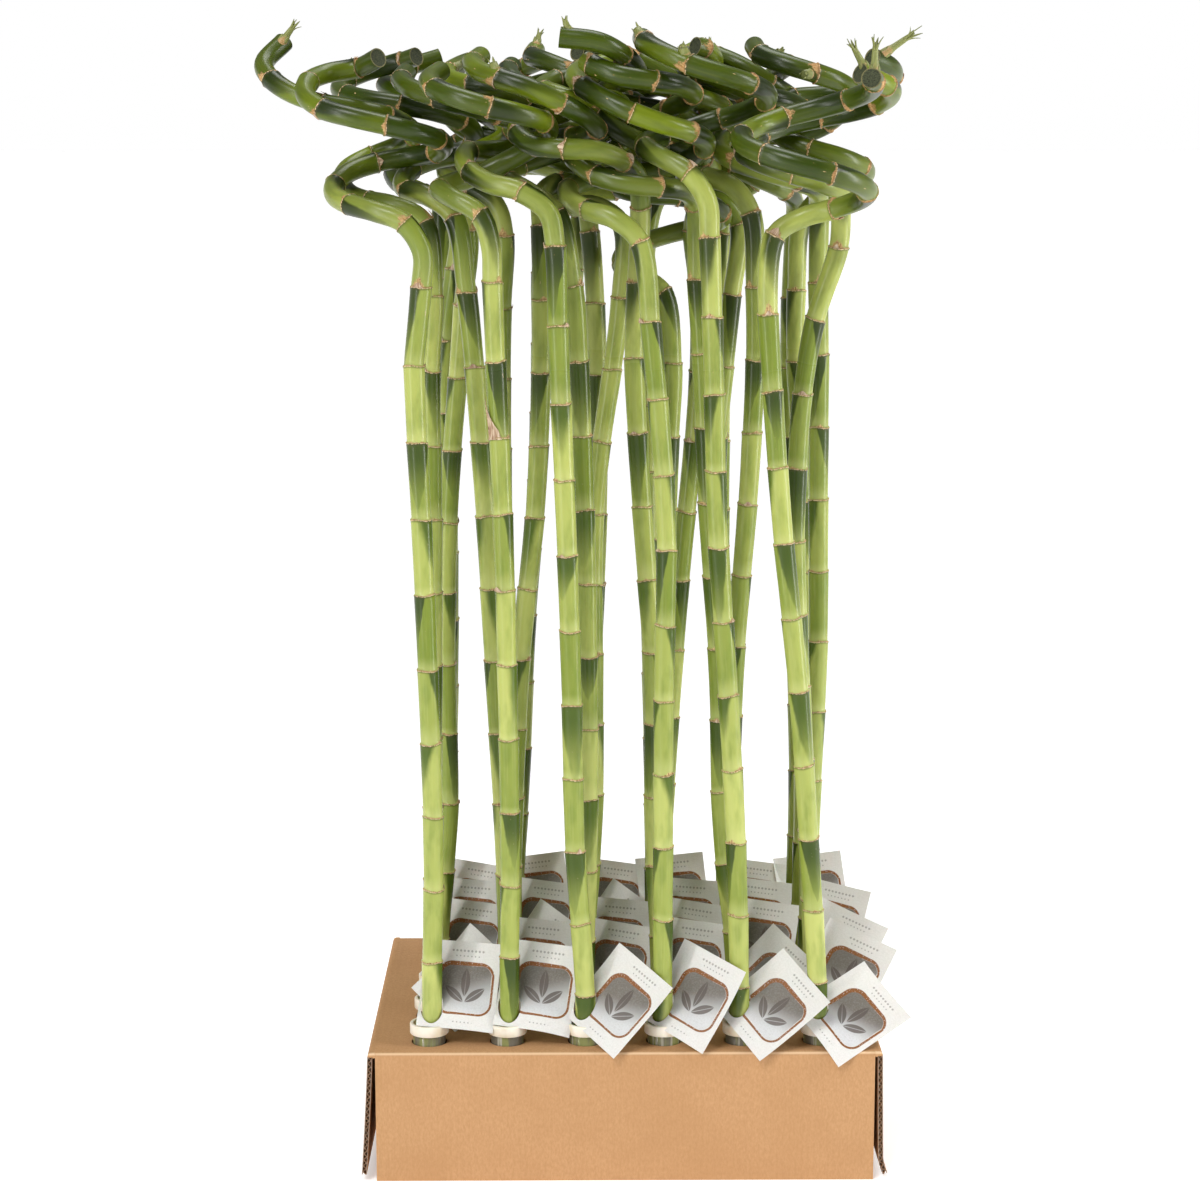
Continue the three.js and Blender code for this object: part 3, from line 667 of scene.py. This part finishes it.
class Cane:
    """A cane's middle line with axes carried along it, the places of its rings and its random draws."""

    def __init__(self, row, column):
        self.row, self.column = row, column
        self.node = f"cane_r{row}_c{column}"
        middles, radii, rest = read_rings(self.node)
        self.shoot = SHOOTS.get((row, column))
        if self.shoot and abs(radii[-1] - STEM["shoulder"]) > 0.1:
            middles.append(shoot_tip(rest, middles[-1]) - np.array(self.shoot))
            radii.append(STEM["shoulder"])
        self.line, marks = curve_through(np.array(middles), LINE_STEP)
        steps = np.linalg.norm(np.diff(self.line, axis=0), axis=1)
        self.run = np.concatenate([[0.0], np.cumsum(steps)])
        self.length = self.run[-1]
        self.rings = self.run[np.array(marks)][np.array(radii) > RING_FROM]
        self.bounds = np.concatenate([[-BEYOND["foot"]], self.rings, [self.length + BEYOND["end"]]])
        self.tangents = np.gradient(self.line, axis=0)
        self.tangents /= np.linalg.norm(self.tangents, axis=1)[:, None]
        self.across = np.empty_like(self.line)
        side = np.array([1.0, 0.0, 0.0])
        for i, tangent in enumerate(self.tangents):
            side = side - tangent * (side @ tangent)
            side = side / np.linalg.norm(side)
            self.across[i] = side
        self.other = np.cross(self.tangents, self.across)
        bent = np.flatnonzero(self.line[:, 2] > STEP["coil_from"])
        self.coil_start = self.run[bent[0]] if len(bent) else self.length
        self.draw = np.random.default_rng(1000 * row + column)
        self.draw_rings()

    def draw_rings(self):
        draw, count, full_turn = self.draw, len(self.bounds), 2 * math.pi
        first = draw.uniform(0, full_turn)
        self.wedge_angle = (first + math.pi * np.arange(count)
                            + draw.uniform(-WEDGE["turn"], WEDGE["turn"], count))
        has_wedge = draw.random(count) < WEDGE["share"]
        self.wedge_width = np.where(has_wedge, draw.uniform(*WEDGE["width"], count), -1.0)
        self.wedge_reach = draw.uniform(*WEDGE["reach"], count)
        self.husk_angle = draw.uniform(0, full_turn, count)
        self.husk_height = draw.uniform(*HUSK["straight"], count)
        coiled = self.bounds > self.coil_start
        self.husk_height[coiled] = draw.uniform(*HUSK["coiled"], coiled.sum())
        self.tint = draw.random(count)
        self.slant = draw.uniform(*SLANT, count)
        self.slant_angle = draw.uniform(0, full_turn, count)
        self.wave_angle = draw.uniform(0, full_turn, count)
        self.oval = draw.uniform(0, math.pi)

    def axes(self, s):
        """Middle, tangent and the two cross axes at distances s along the cane."""
        return [np.stack([np.interp(s, self.run, table[:, i]) for i in range(3)], -1)
                for table in (self.line, self.tangents, self.across, self.other)]

    def surface(self, s, angle, radius):
        middle, _, u, v = self.axes(s)
        return middle + radius[..., None] * (np.cos(angle)[..., None] * u + np.sin(angle)[..., None] * v)

    def texture(self, s, angle):
        """Where the rind's pattern is read: on a straight cylinder, elsewhere for each cane."""
        shift = 37.0 * self.column + 211.0 * self.row
        return np.stack([6.0 * np.cos(angle), 6.0 * np.sin(angle), s + shift], -1)

    def stations(self):
        """Where the stem has a cross-section: closely at its rings, and as finely as it bends between."""
        fine = np.array([r + d for r in self.rings for d in RING_SECTIONS if 0 < r + d < self.length])
        plain = [0.0]
        while plain[-1] < self.length:
            straight = plain[-1] < self.coil_start - STEP["early"]
            plain.append(min(plain[-1] + STEP["straight" if straight else "coil"], self.length))
        apart = [s for s in plain if s in (0.0, self.length) or np.abs(fine - s).min() > STEP["apart"]]
        return np.array(sorted(set(apart) | set(fine.tolist())))


def stem_radius(up, down, share):
    """Radius above the ring below and under the ring above: flared to a lip at each ring."""
    radii = [STEM[key] for key in ("waist", "middle", "neck", "shoulder")]
    lip = (STEM["ring"] - STEM["waist"]) * np.exp(-(up / STEM["lip"]) ** 2)
    flare = (STEM["ring"] - STEM["shoulder"]) * np.exp(-(down / STEM["flare"]) ** 2)
    return np.interp(share, STEM_SHARES, radii) + lip + flare


def add_stem(build, cane):
    """The stem's rind. Gives the number of its rings of points and the radius at each point."""
    s, angle = np.meshgrid(cane.stations(), around(STEM["sides"]), indexing="ij")
    k = np.clip(np.searchsorted(cane.bounds, s + 1e-6) - 1, 0, len(cane.bounds) - 2)
    up, down = s - cane.bounds[k], cane.bounds[k + 1] - s
    span = cane.bounds[k + 1] - cane.bounds[k]
    share = np.clip(up / span, 0, 1)
    near = np.minimum(up, down)
    phase = cane.wave_angle[k]
    radius = stem_radius(up, down, share) * (1 + UNEVEN["oval"] * np.cos(2 * angle + cane.oval))
    ragged = UNEVEN["ragged"] * np.exp(-(near / UNEVEN["ragged_reach"]) ** 2)
    radius = radius + ragged * (np.sin(7 * angle + phase) + np.sin(11 * angle - 2 * phase))

    def lean(index):
        tilt = cane.slant[index] * np.cos(angle - cane.slant_angle[index])
        return tilt + UNEVEN["wave"] * np.sin(3 * angle + cane.wave_angle[index])

    shift = (1 - share) * lean(k) + share * lean(k + 1)
    inner = (s > 0.5) & (s < cane.length - 0.5)
    points = cane.surface(s, angle, radius) + (shift * inner)[..., None] * cane.axes(s)[1]
    husk_turn, wedge_turn = angle - cane.husk_angle[k], angle - cane.wedge_angle[k + 1]
    husk = [np.cos(husk_turn), np.sin(husk_turn), up / cane.husk_height[k]]
    wedge = [np.cos(wedge_turn), np.sin(wedge_turn), down / (cane.wedge_reach[k + 1] * span)]
    build.add(
        points.reshape(-1, 3), tube_faces(*s.shape), RIND,
        stem_co=cane.texture(s, angle).reshape(-1, 3),
        husk_mark=np.stack(husk, -1).reshape(-1, 3), wedge_mark=np.stack(wedge, -1).reshape(-1, 3),
        wedge_width=cane.wedge_width[k + 1].ravel(), ring_gap=near.ravel(),
        age=np.minimum(1.0, s / GROWN).ravel(), tint=cane.tint[k].ravel(),
    )
    return len(s), radius


def add_cut(build, cane, first, s, way, radius):
    """The stem's end: a rim turned in to a slightly hollow face, joined to the ring of points at first."""
    sides = STEM["sides"]
    angles, at = around(sides), np.full(sides, s)
    sunk = way * cane.axes(at)[1]
    shift = np.full(sides, 31.0 * cane.column + 53.0 * cane.row + s)
    for share, sink in CUT:
        r, start = radius * share, len(build.points)
        ring = cane.surface(at, angles, r) - sink * sunk
        build.add(ring, [], stem_co=np.stack([r * np.cos(angles), r * np.sin(angles), shift], -1))
        build.faces.extend([first + j, first + (j + 1) % sides, start + (j + 1) % sides, start + j]
                           for j in range(sides))
        build.slots.extend([CUT_END] * sides)
        first = start
    build.faces.append(list(range(first, first + sides)))
    build.slots.append(CUT_END)


def sheet_grid(rows, columns):
    """Shares along and across a sheet: from 0 to 1, and from -1 to 1."""
    return np.meshgrid(np.linspace(0, 1, rows), np.linspace(-1, 1, columns), indexing="ij")


def add_sheet(build, layers, slot, texture, **values):
    """A thin closed sheet between two like grids of points."""
    rows, columns, _ = texture.shape
    grid = np.arange(rows * columns).reshape(rows, columns)
    quads = [(a, a + 1, a + columns + 1, a + columns) for a in grid[:-1, :-1].ravel()]
    rim = [*grid[0], *grid[1:, -1], *grid[-1, -2::-1], *grid[-2:0:-1, 0]]
    faces = [quad[::-1] for quad in quads] + [[grid.size + p for p in quad] for quad in quads]
    faces += [(a, b, grid.size + b, grid.size + a) for a, b in zip(rim, rim[1:] + rim[:1])]
    doubled = {key: np.concatenate([value, value]).ravel() for key, value in values.items()}
    build.add(np.concatenate(layers).reshape(-1, 3), faces, slot,
              stem_co=np.concatenate([texture, texture]).reshape(-1, 3), **doubled)


def add_flake(build, cane, ring, angle, width, height, lift, lean=0.0, slim=None):
    """A dry scrap of sheath that stands up from a ring, pointed and a little proud of the stem."""
    finer = 1 if slim is None else 3
    t, w = sheet_grid(FLAKE["up"] * finer, FLAKE["across"] * finer)
    tip = 1 - np.abs(w) ** 1.4 if slim is None else (1 - np.abs(w)) ** slim
    rise = t * height * (0.25 + 0.75 * tip)
    turn = angle + w * width / STEM["waist"] * (1 - 0.35 * t) + lean * t * tip
    radius = STEM["ring"] - 0.35 * np.minimum(1.0, rise) + lift * t ** 2
    layers = [cane.surface(ring + rise - 0.3, turn, radius + out) for out in (0.0, FLAKE["thickness"])]
    add_sheet(build, layers, DRY, cane.texture(ring + rise, turn))


def cross_axes(direction):
    direction = direction / np.linalg.norm(direction)
    helper = np.array([0.0, 1.0, 0.0]) if abs(direction[1]) < 0.9 else np.array([1.0, 0.0, 0.0])
    side = np.cross(direction, helper)
    side /= np.linalg.norm(side)
    return direction, side, np.cross(direction, side)


def spoke(turn, side, other):
    return math.cos(turn) * side + math.sin(turn) * other


def add_spike(build, base, direction, profile, seed):
    """A round tapering stalk. Its profile is a list of (distance, radius)."""
    axis, side, other = cross_axes(direction)
    reach = profile[-1][0]
    points, texture, age = [], [], []
    for along, radius in profile:
        for a in around(SPIKE_SIDES):
            points.append(base + along * axis + radius * spoke(a, side, other))
            texture.append((radius * math.cos(a) + seed, radius * math.sin(a), along))
            age.append(max(0.0, along / reach))
    build.add(points, closed_tube_faces(len(profile), SPIKE_SIDES), YOUNG, stem_co=texture, age=age)


def add_blade(build, base, direction, out, length, width, spread, seed):
    """A pointed leaf blade, folded a little along its middle, that leaves the shoot towards out."""
    axis = cross_axes(direction)[0]
    out = out - axis * (out @ axis)
    out /= np.linalg.norm(out)
    side = np.cross(axis, out)
    t, w = sheet_grid(BLADE["rows"], BLADE["columns"])
    half = np.maximum(0.5 * width * (1 - t) ** BLADE["taper"] * (0.75 + 0.6 * t), BLADE["thinnest"])
    bulge = BLADE["bulge"] * half * (1 - w ** 2)
    face = base + t[..., None] * length * axis + (spread * t ** 2.2 + bulge)[..., None] * out
    face = face + (w * half)[..., None] * side
    texture = np.stack([w * half + seed, spread * t, t * length], -1)
    add_sheet(build, [face - BLADE["thickness"] * out, face], YOUNG, texture, age=0.3 + 0.7 * t)


def add_shoot(build, cane):
    """The young shoot beside the cut end: a round stalk, a tuft of pointed blades and scales at its foot."""
    draw, seed = cane.draw, 11.0 * cane.column
    end, tangent = cane.line[-1], cane.tangents[-1]
    aside = np.array(cane.shoot, float)
    aside = aside - tangent * (aside @ tangent)
    aside /= np.linalg.norm(aside)
    foot = end - SHOOT["sunk"] * tangent + SHOOT["aside"] * aside
    vector = end + np.array(cane.shoot) - foot
    reach = np.linalg.norm(vector)
    axis, side, other = cross_axes(vector)
    stalk = SHOOT["foot"] + [(share * reach, radius) for share, radius in SHOOT["stalk"]]
    add_spike(build, foot, vector, stalk, seed)
    for i in range(TUFT["count"]):
        turn = 2 * math.pi * (i + draw.uniform(-TUFT["turn"], TUFT["turn"])) / TUFT["count"]
        out = spoke(turn, side, other)
        start = (TUFT["first"] + TUFT["step"] * i) * reach
        length = reach * (draw.uniform(*TUFT["length"]) if i else 1.0) - start
        spread = draw.uniform(*TUFT["spread"]) * reach * (i > 0)
        base = foot + start * axis + TUFT["out"] * out
        add_blade(build, base, vector, out, length, TUFT["width"], spread, seed + i)
    for i in range(SCALES["count"]):
        turn = 2 * math.pi * (i + 0.5) / SCALES["count"] + draw.uniform(-SCALES["turn"], SCALES["turn"])
        out = spoke(turn, side, other)
        length = min(SCALES["longest"], SCALES["share"] * reach) * draw.uniform(*SCALES["length"])
        base = foot + SCALES["up"] * axis + SCALES["out"] * out
        add_blade(build, base, vector, out, length, SCALES["width"], SCALES["spread"], seed - i)


def add_stub(build, cane, ring, angle):
    """A side shoot trimmed to a stub just above a ring: a tan foot, a short stem and a small tuft."""
    draw, seed = cane.draw, 7.0 * cane.column + ring
    middle, tangent, u, v = (table[0] for table in cane.axes(np.array([ring + STUB["above"]])))
    out = spoke(angle, u, v)
    direction = 0.8 * out + 0.6 * tangent
    base = middle + (STEM["waist"] - STUB["sunk"]) * out
    r, reach = draw.uniform(*STUB["radius"]), draw.uniform(*STUB["reach"])
    profile = [(0.0, r + 0.5), (2.4, r + 0.45), (2.9, r), (reach - 0.4, 0.9 * r), (reach, 0.72 * r),
               (reach - 0.3, 0.3 * r)]
    add_spike(build, base, direction, profile, seed)
    if draw.random() < STUB["tufted"]:
        axis, side, other = cross_axes(direction)
        for i in range(STUB["blades"]):
            away = spoke(2.1 * i + draw.uniform(-0.4, 0.4), side, other)
            foot = base + (reach - 2.2) * axis + 0.62 * r * away
            add_blade(build, foot, direction, away, draw.uniform(*STUB["blade"]), STUB["blade_width"],
                      STUB["blade_spread"], seed + i)


def build_cane(row, column, materials):
    cane = Cane(row, column)
    draw, build = cane.draw, Build()
    count, radius = add_stem(build, cane)
    add_cut(build, cane, 0, 0.0, -1.0, radius[0])
    add_cut(build, cane, (count - 1) * STEM["sides"], cane.length, 1.0, radius[-1])
    for ring, angle in zip(cane.rings, cane.husk_angle[1:]):
        if ring < FLAKE["from_foot"] or ring > cane.length - FLAKE["from_end"]:
            continue
        if draw.random() < FLAKE["chance"]:
            heights = FLAKE["coiled" if ring > cane.coil_start else "straight"]
            width, height = draw.uniform(*FLAKE["width"]), draw.uniform(*heights)
            add_flake(build, cane, ring, angle, width, height, draw.uniform(*FLAKE["lift"]))
    if (row, column) == SCRAP["cane"]:
        heights = np.interp(cane.rings, cane.run, cane.line[:, 2])
        ring = cane.rings[np.argmin(np.abs(heights - SCRAP["level"]))]
        add_flake(build, cane, ring, **SCRAP["shape"])
    if cane.shoot:
        add_shoot(build, cane)
    else:
        for ring, chance in zip(cane.rings[-2:], STUB["chances"]):
            if ring < cane.length - STUB["from_end"] and draw.random() < chance:
                add_stub(build, cane, ring, draw.uniform(0, 2 * math.pi))
    piece(build.make(f"stem_r{row}_c{column}", materials, SHARP["stem"]), [cane.node])


# Vials and tags
def vial_nodes(row, column):
    if row < ROWS:
        return [f"vial_r{row}_c{column}"]
    first = column - 1 + column % 2
    return [f"vials_r{row}_c{first}_c{first + 1}"]


def build_vial(row, column, tube, water, ring):
    x, y = column_x(column), row_y(row)

    def add_part(name, look, points, faces):
        build = Build()
        build.add(points, faces)
        part = build.make(f"{name}_r{row}_c{column}", [look], SHARP["vial"])
        piece(part, vial_nodes(row, column))

    foot, inside, lip = VIAL["foot"], VIAL["foot"] + VIAL["floor"], VIAL["lip"] - VIAL["lip_round"]
    corner, inner, soft = VIAL["corner"], VIAL["inner_corner"], VIAL["lip_round"]
    profile = [(VIAL["pole"], foot)] + arc(VIAL["radius"] - corner, foot + corner, corner, -90, 0, 4)
    profile += arc(VIAL["radius"] - soft, lip, soft, 0, 90, 3)
    profile += arc(VIAL["bore"] + soft, lip, soft, 90, 180, 3)
    profile += arc(VIAL["bore"] - inner, inside + inner, inner, 0, -90, 4) + [(VIAL["pole"], inside)]
    add_part("tube", tube, *lathe(profile, VIAL["sides"], x, y))

    r, low, level, corner = WATER["radius"], WATER["low"], WATER["level"], WATER["corner"]
    profile = [(WATER["pole"], low), (r - corner, low), (r, low + corner), (r, level),
               (r - WATER["rim"], level - WATER["rim_drop"]), (WATER["pole"], level - WATER["drop"])]
    points = turned(profile, VIAL["sides"], x, y)
    add_part("water", water, points, closed_tube_faces(len(profile), VIAL["sides"]))

    r, bore, low, high, soft = (COLLAR[key] for key in ("radius", "bore", "low", "high", "round"))
    foot, edge, seat = COLLAR["low_round"], COLLAR["bore_round"], VIAL["radius"] + COLLAR["play"]
    profile = arc(r - foot, low + foot, foot, -90, 0, 3) + arc(r - soft, high - soft, soft, 0, 90)
    profile += arc(bore + edge, high - edge, edge, 90, 180, 4)
    profile += [(bore, low + COLLAR["bore_low"]), (seat, low + COLLAR["seat"]), (seat, low)]
    add_part("cap_ring", ring, *lathe(profile, COLLAR["sides"], x, y))


class TagSheet:
    """Where the sheet of a cell's tag lies: it is threaded on the cane and bends back over its length."""

    def __init__(self, row, column):
        roll, slope, turn = (math.radians(angle) for angle in TAGS[row - 1][column - 1])
        self.x, self.y, self.tilt = TAG_CANE_X[row - 1][column - 1], row_y(row), slope
        self.cos_roll, self.sin_roll = math.cos(roll), math.sin(roll)
        self.cos_turn, self.sin_turn = math.cos(turn), math.sin(turn)
        reach = min(-TAG["bottom"] / self.cos_roll * math.cos(slope), TAG_SEAT["collar"])
        self.hole_z = COLLAR_TOP + reach * math.tan(slope) - TAG_SEAT["press"]

    def rolled(self, across, up):
        return across * self.cos_roll + up * self.sin_roll, up * self.cos_roll - across * self.sin_roll

    def hole_reach(self, dx, dy):
        """How far the hole's edge is from its middle: it is round seen from above."""
        wide, along = self.rolled(dx, dy)
        return TAG["hole"] / math.hypot(wide, along * math.cos(self.tilt))

    def point(self, across, up, depth):
        wide, along = self.rolled(across, up)
        bent = self.tilt + TAG["bend"] * max(0.0, along)
        if along > 0:
            out = (math.sin(bent) - math.sin(self.tilt)) / TAG["bend"]
            rise = (math.cos(self.tilt) - math.cos(bent)) / TAG["bend"]
        else:
            out, rise = along * math.cos(self.tilt), along * math.sin(self.tilt)
        back = out - depth * math.sin(bent)
        return (self.x + wide * self.cos_turn - back * self.sin_turn,
                self.y + wide * self.sin_turn + back * self.cos_turn,
                self.hole_z + rise + depth * math.cos(bent))


def build_tag(row, column, paper):
    sheet = TagSheet(row, column)
    draw = np.random.default_rng(77 * row + column)
    left, right = TAG["left"], TAG["left"] + TAG["width"]
    low, high = TAG["bottom"], TAG["bottom"] + TAG["height"]
    corners = [math.atan2(b, a) % (2 * math.pi) for a in (left, right) for b in (low, high)]
    angles = sorted(set(np.round(around(TAG_GRID["around"]), 6)) | set(np.round(corners, 6)))
    amounts = {key: draw.uniform(*limits) for key, (limits, _, _) in TAG_WEAR.items()}

    def wear(key, value):
        _, start, distance = TAG_WEAR[key]
        return amounts[key] * max(0.0, (value - start) / distance) ** 2

    count, layers = len(angles), TAG_GRID["layers"]
    flat, points = [], []
    for depth in (0.0, TAG["thickness"]):
        for level in range(layers + 1):
            for a in angles:
                dx, dy = math.cos(a), math.sin(a)
                edge = min((right if dx > 0 else left) / dx if abs(dx) > 1e-9 else math.inf,
                           (high if dy > 0 else low) / dy if abs(dy) > 1e-9 else math.inf)
                inner = min(sheet.hole_reach(dx, dy), TAG_GRID["hole_share"] * edge)
                reach = inner + (edge - inner) * (level / layers) ** TAG_GRID["crowding"]
                px, py = reach * dx, reach * dy
                lift = TAG_SEAT["lift"] + wear("curl", px + py) + wear("dog_ear", px - py)
                lift += TAG_SEAT["edge_rise"] * max(0.0, -px - TAG_SEAT["edge_start"]) ** 2
                lift -= wear("sag", px) * (high - py) / TAG["height"]
                points.append(sheet.point(px, py, depth + lift))
                flat.append((px, py, depth))
    size = (layers + 1) * count
    under = tube_faces(layers + 1, count)
    faces = under + [[size + p for p in (a, d, c, b)] for a, b, c, d in under]
    for ring in (0, layers * count):
        for j in range(count):
            a, b = ring + j, ring + (j + 1) % count
            faces.append((a, size + a, size + b, b))
    build = Build()
    build.add(points, faces, tag_co=flat)
    piece(build.make(f"tag_r{row}_c{column}", [paper], SHARP["tag"]), vial_nodes(row, column))


# Carton
def extruded(outline, low, high, axis):
    """A closed outline of (a, z) points drawn out along x or y."""
    count = len(outline)
    points = [(t, a, z) if axis == "x" else (a, t, z) for t in (low, high) for a, z in outline]
    faces = [tuple(range(count)), tuple(range(2 * count - 1, count - 1, -1))]
    faces += [(j, count + j, count + (j + 1) % count, (j + 1) % count) for j in range(count)]
    return points, faces


def ribbon(one, two, low, high):
    """A strip of board between two lines of (x, z) points, drawn out along y; its cut edges are in slot 1."""
    n = len(one)
    points = [(x, t, z) for t in (low, high) for line in (one, two) for x, z in line]
    faces, slots = [], []
    for i in range(n - 1):
        faces.append((i, i + 1, n + i + 1, n + i))
        faces.append((2 * n + i, 3 * n + i, 3 * n + i + 1, 2 * n + i + 1))
        faces.append((i, 2 * n + i, 2 * n + i + 1, i + 1))
        faces.append((n + i, n + i + 1, 3 * n + i + 1, 3 * n + i))
        slots += [1, 1, 0, 0]
    for i in (0, n - 1):
        faces.append((i, n + i, 3 * n + i, 2 * n + i))
        slots.append(1)
    return points, faces, slots


def offset_line(line, distance):
    """The line of (x, z) points moved sideways."""
    step = np.gradient(line, axis=0)
    step /= np.linalg.norm(step, axis=1)[:, None]
    away = np.broadcast_to(distance, len(line))
    return line + np.stack([-step[:, 1], step[:, 0]], -1) * away[:, None]


def flap_parts(side, spread, curl):
    """An end flap of fluted board: two liners with a wave between them, hanging from the top's fold."""
    half, height, t, fold = CARTON["length"] / 2, CARTON["height"], CARTON["board"], CARTON["fold"]
    levels = np.linspace(height - fold, FLAP["lift"], FLAP["levels"])
    share = (height - levels) / (height - FLAP["lift"])
    curled = np.maximum(0.0, (share - FLAP["curl_from"]) / (1 - FLAP["curl_from"])) ** 2
    outer = half + spread * share ** FLAP["bow"] + curl * curled
    line = np.stack([side * outer, levels], -1)
    liner, web = FLUTE["liner"], FLUTE["web"]
    swing = (t - 2 * liner - web) / 2
    wave = t / 2 + swing * np.sin(2 * math.pi * (height - levels) / FLUTE["length"])
    return [[offset_line(line, -side * depth) for depth in limits]
            for limits in ((0.0, liner), (wave - web / 2, wave + web / 2), (t - liner, t))]


def cut_holes(shell, board):
    """Cuts the round holes for the vials out of the carton's top."""
    height, t = CARTON["height"], CARTON["board"]
    cutter = Build()
    for row, column in CELLS:
        profile = [(HOLE["radius"], height - 2 * t), (HOLE["radius"], height + t)]
        points = turned(profile, HOLE["sides"], column_x(column), row_y(row))
        cutter.add(points, closed_tube_faces(2, HOLE["sides"]))
    tool = cutter.make("hole_cutter", [board], SHARP["board"])
    cut = shell.modifiers.new("holes", "BOOLEAN")
    cut.operation = "DIFFERENCE"
    cut.solver = "EXACT"
    cut.object = tool
    graph = bpy.context.evaluated_depsgraph_get()
    mesh = bpy.data.meshes.new_from_object(shell.evaluated_get(graph))
    shell.modifiers.clear()
    shell.data = mesh
    mesh.set_sharp_from_angle(angle=math.radians(SHARP["board"]))
    bpy.data.objects.remove(tool)


def build_carton(board, edge):
    half, back = CARTON["length"] / 2, CARTON["width"] / 2
    height, t, fold, play = (CARTON[key] for key in ("height", "board", "fold", "play"))
    wall = half - t - CARTON["wall_inset"]
    sleeve = [(-back, 0.0)] + arc(-back + fold, height - fold, fold, 180, 90)
    sleeve += arc(back - fold, height - fold, fold, 90, 0) + [(back, 0.0), (back - t, 0.0)]
    sleeve += [(back - t, height - t), (-back + t, height - t), (-back + t, 0.0)]
    build = Build()
    build.add(*extruded(sleeve, -wall, wall, "x"))
    shell = build.make("carton_sleeve", [board], SHARP["board"])
    cut_holes(shell, board)
    piece(shell, ["carton"])

    build = Build()
    seam = wall + FLAP["seam"]
    for flap in FLAPS:
        top = [(seam, height)] + arc(half - fold, height - fold, fold, 90, 0)
        bottom = [(seam, height - t), (half - t, height - t - 0.2), (half - t, height - fold - 0.6)]
        outline = [(flap["side"] * a, z) for a, z in top + bottom[::-1]]
        build.add(*extruded(outline, -back, back, "y"))
        for one, two in flap_parts(**flap):
            build.add(*ribbon(one, two, -back, back))
    piece(build.make("end_flaps", [board, edge], SHARP["board"]), ["carton"])

    build = Build()
    inner, top, floor = back - t - play, height - t - play, wall - t - play
    boards = [(play, top, -wall, t - wall), (play, top, wall - t, wall), (0.0, t, -floor, floor)]
    for low, high, left, right in boards:
        outline = [(-inner, low), (inner, low), (inner, high), (-inner, high)]
        build.add(*extruded(outline, left, right, "x"))
    piece(build.make("inner_boards", [board], SHARP["board"]), ["carton"])


# Camera, light and floor
def heading(down, turn):
    """The rotation of a camera or light that looks down by one angle and is turned by the other."""
    return math.radians(90.0 - down), 0.0, math.radians(turn)


def build_camera():
    data = bpy.data.cameras.new("camera")
    data.sensor_width = SENSOR
    data.lens = CAMERA["focal"] * SENSOR
    data.clip_end = 4 * FLOOR_HALF
    made = linked("camera", data)
    made.location = Vector(CAMERA["place"]) * MM
    made.rotation_euler = heading(CAMERA["down"], -CAMERA["right"])
    bpy.context.scene.camera = made


def build_sky():
    """A sky that is white at the horizon and dimmer overhead."""
    g = Graph(bpy.data.worlds.new("studio"))
    rise = g.split(g.place("Generated"))[2]
    background = g.tree.nodes["Background"]
    g.put(background.inputs["Color"], (1.0, 1.0, 1.0))
    g.put(background.inputs["Strength"], g.ramp(rise, *SKY))
    bpy.context.scene.world = g.owner


def build_lights():
    data = bpy.data.lights.new("sun", "SUN")
    data.energy = SUN["strength"]
    data.angle = math.radians(SUN["angle"])
    linked("sun", data).rotation_euler = heading(SUN["down"], SUN["turn"])
    for name, place, size, watts in PANELS:
        data = bpy.data.lights.new(name, "AREA")
        data.shape = "RECTANGLE"
        data.size, data.size_y = size
        data.energy = watts
        made = linked(name, data)
        made.location = place
        made.rotation_euler = (Vector(AIM) - Vector(place)).to_track_quat("-Z", "Y").to_euler()


def build_floor():
    mesh = bpy.data.meshes.new("floor")
    h = FLOOR_HALF
    mesh.from_pydata([(-h, -h, 0), (h, -h, 0), (h, h, 0), (-h, h, 0)], [], [(0, 1, 2, 3)])
    mesh.materials.append(floor_material())
    floor = linked("floor", mesh)


def main():
    plant = [rind_material(), cut_material(), husk_material(), shoot_material()]
    tube, water, ring = tube_material(), water_material(), collar_material()
    paper = tag_material()
    for row, column in CELLS:
        build_cane(row, column, plant)
        build_vial(row, column, tube, water, ring)
        build_tag(row, column, paper)
    build_carton(board_material(), board_edge_material())
    bpy.context.scene.view_settings.view_transform = "Standard"
    build_camera()
    build_sky()
    build_lights()
    build_floor()


main()
bpy.context.view_layer.update()
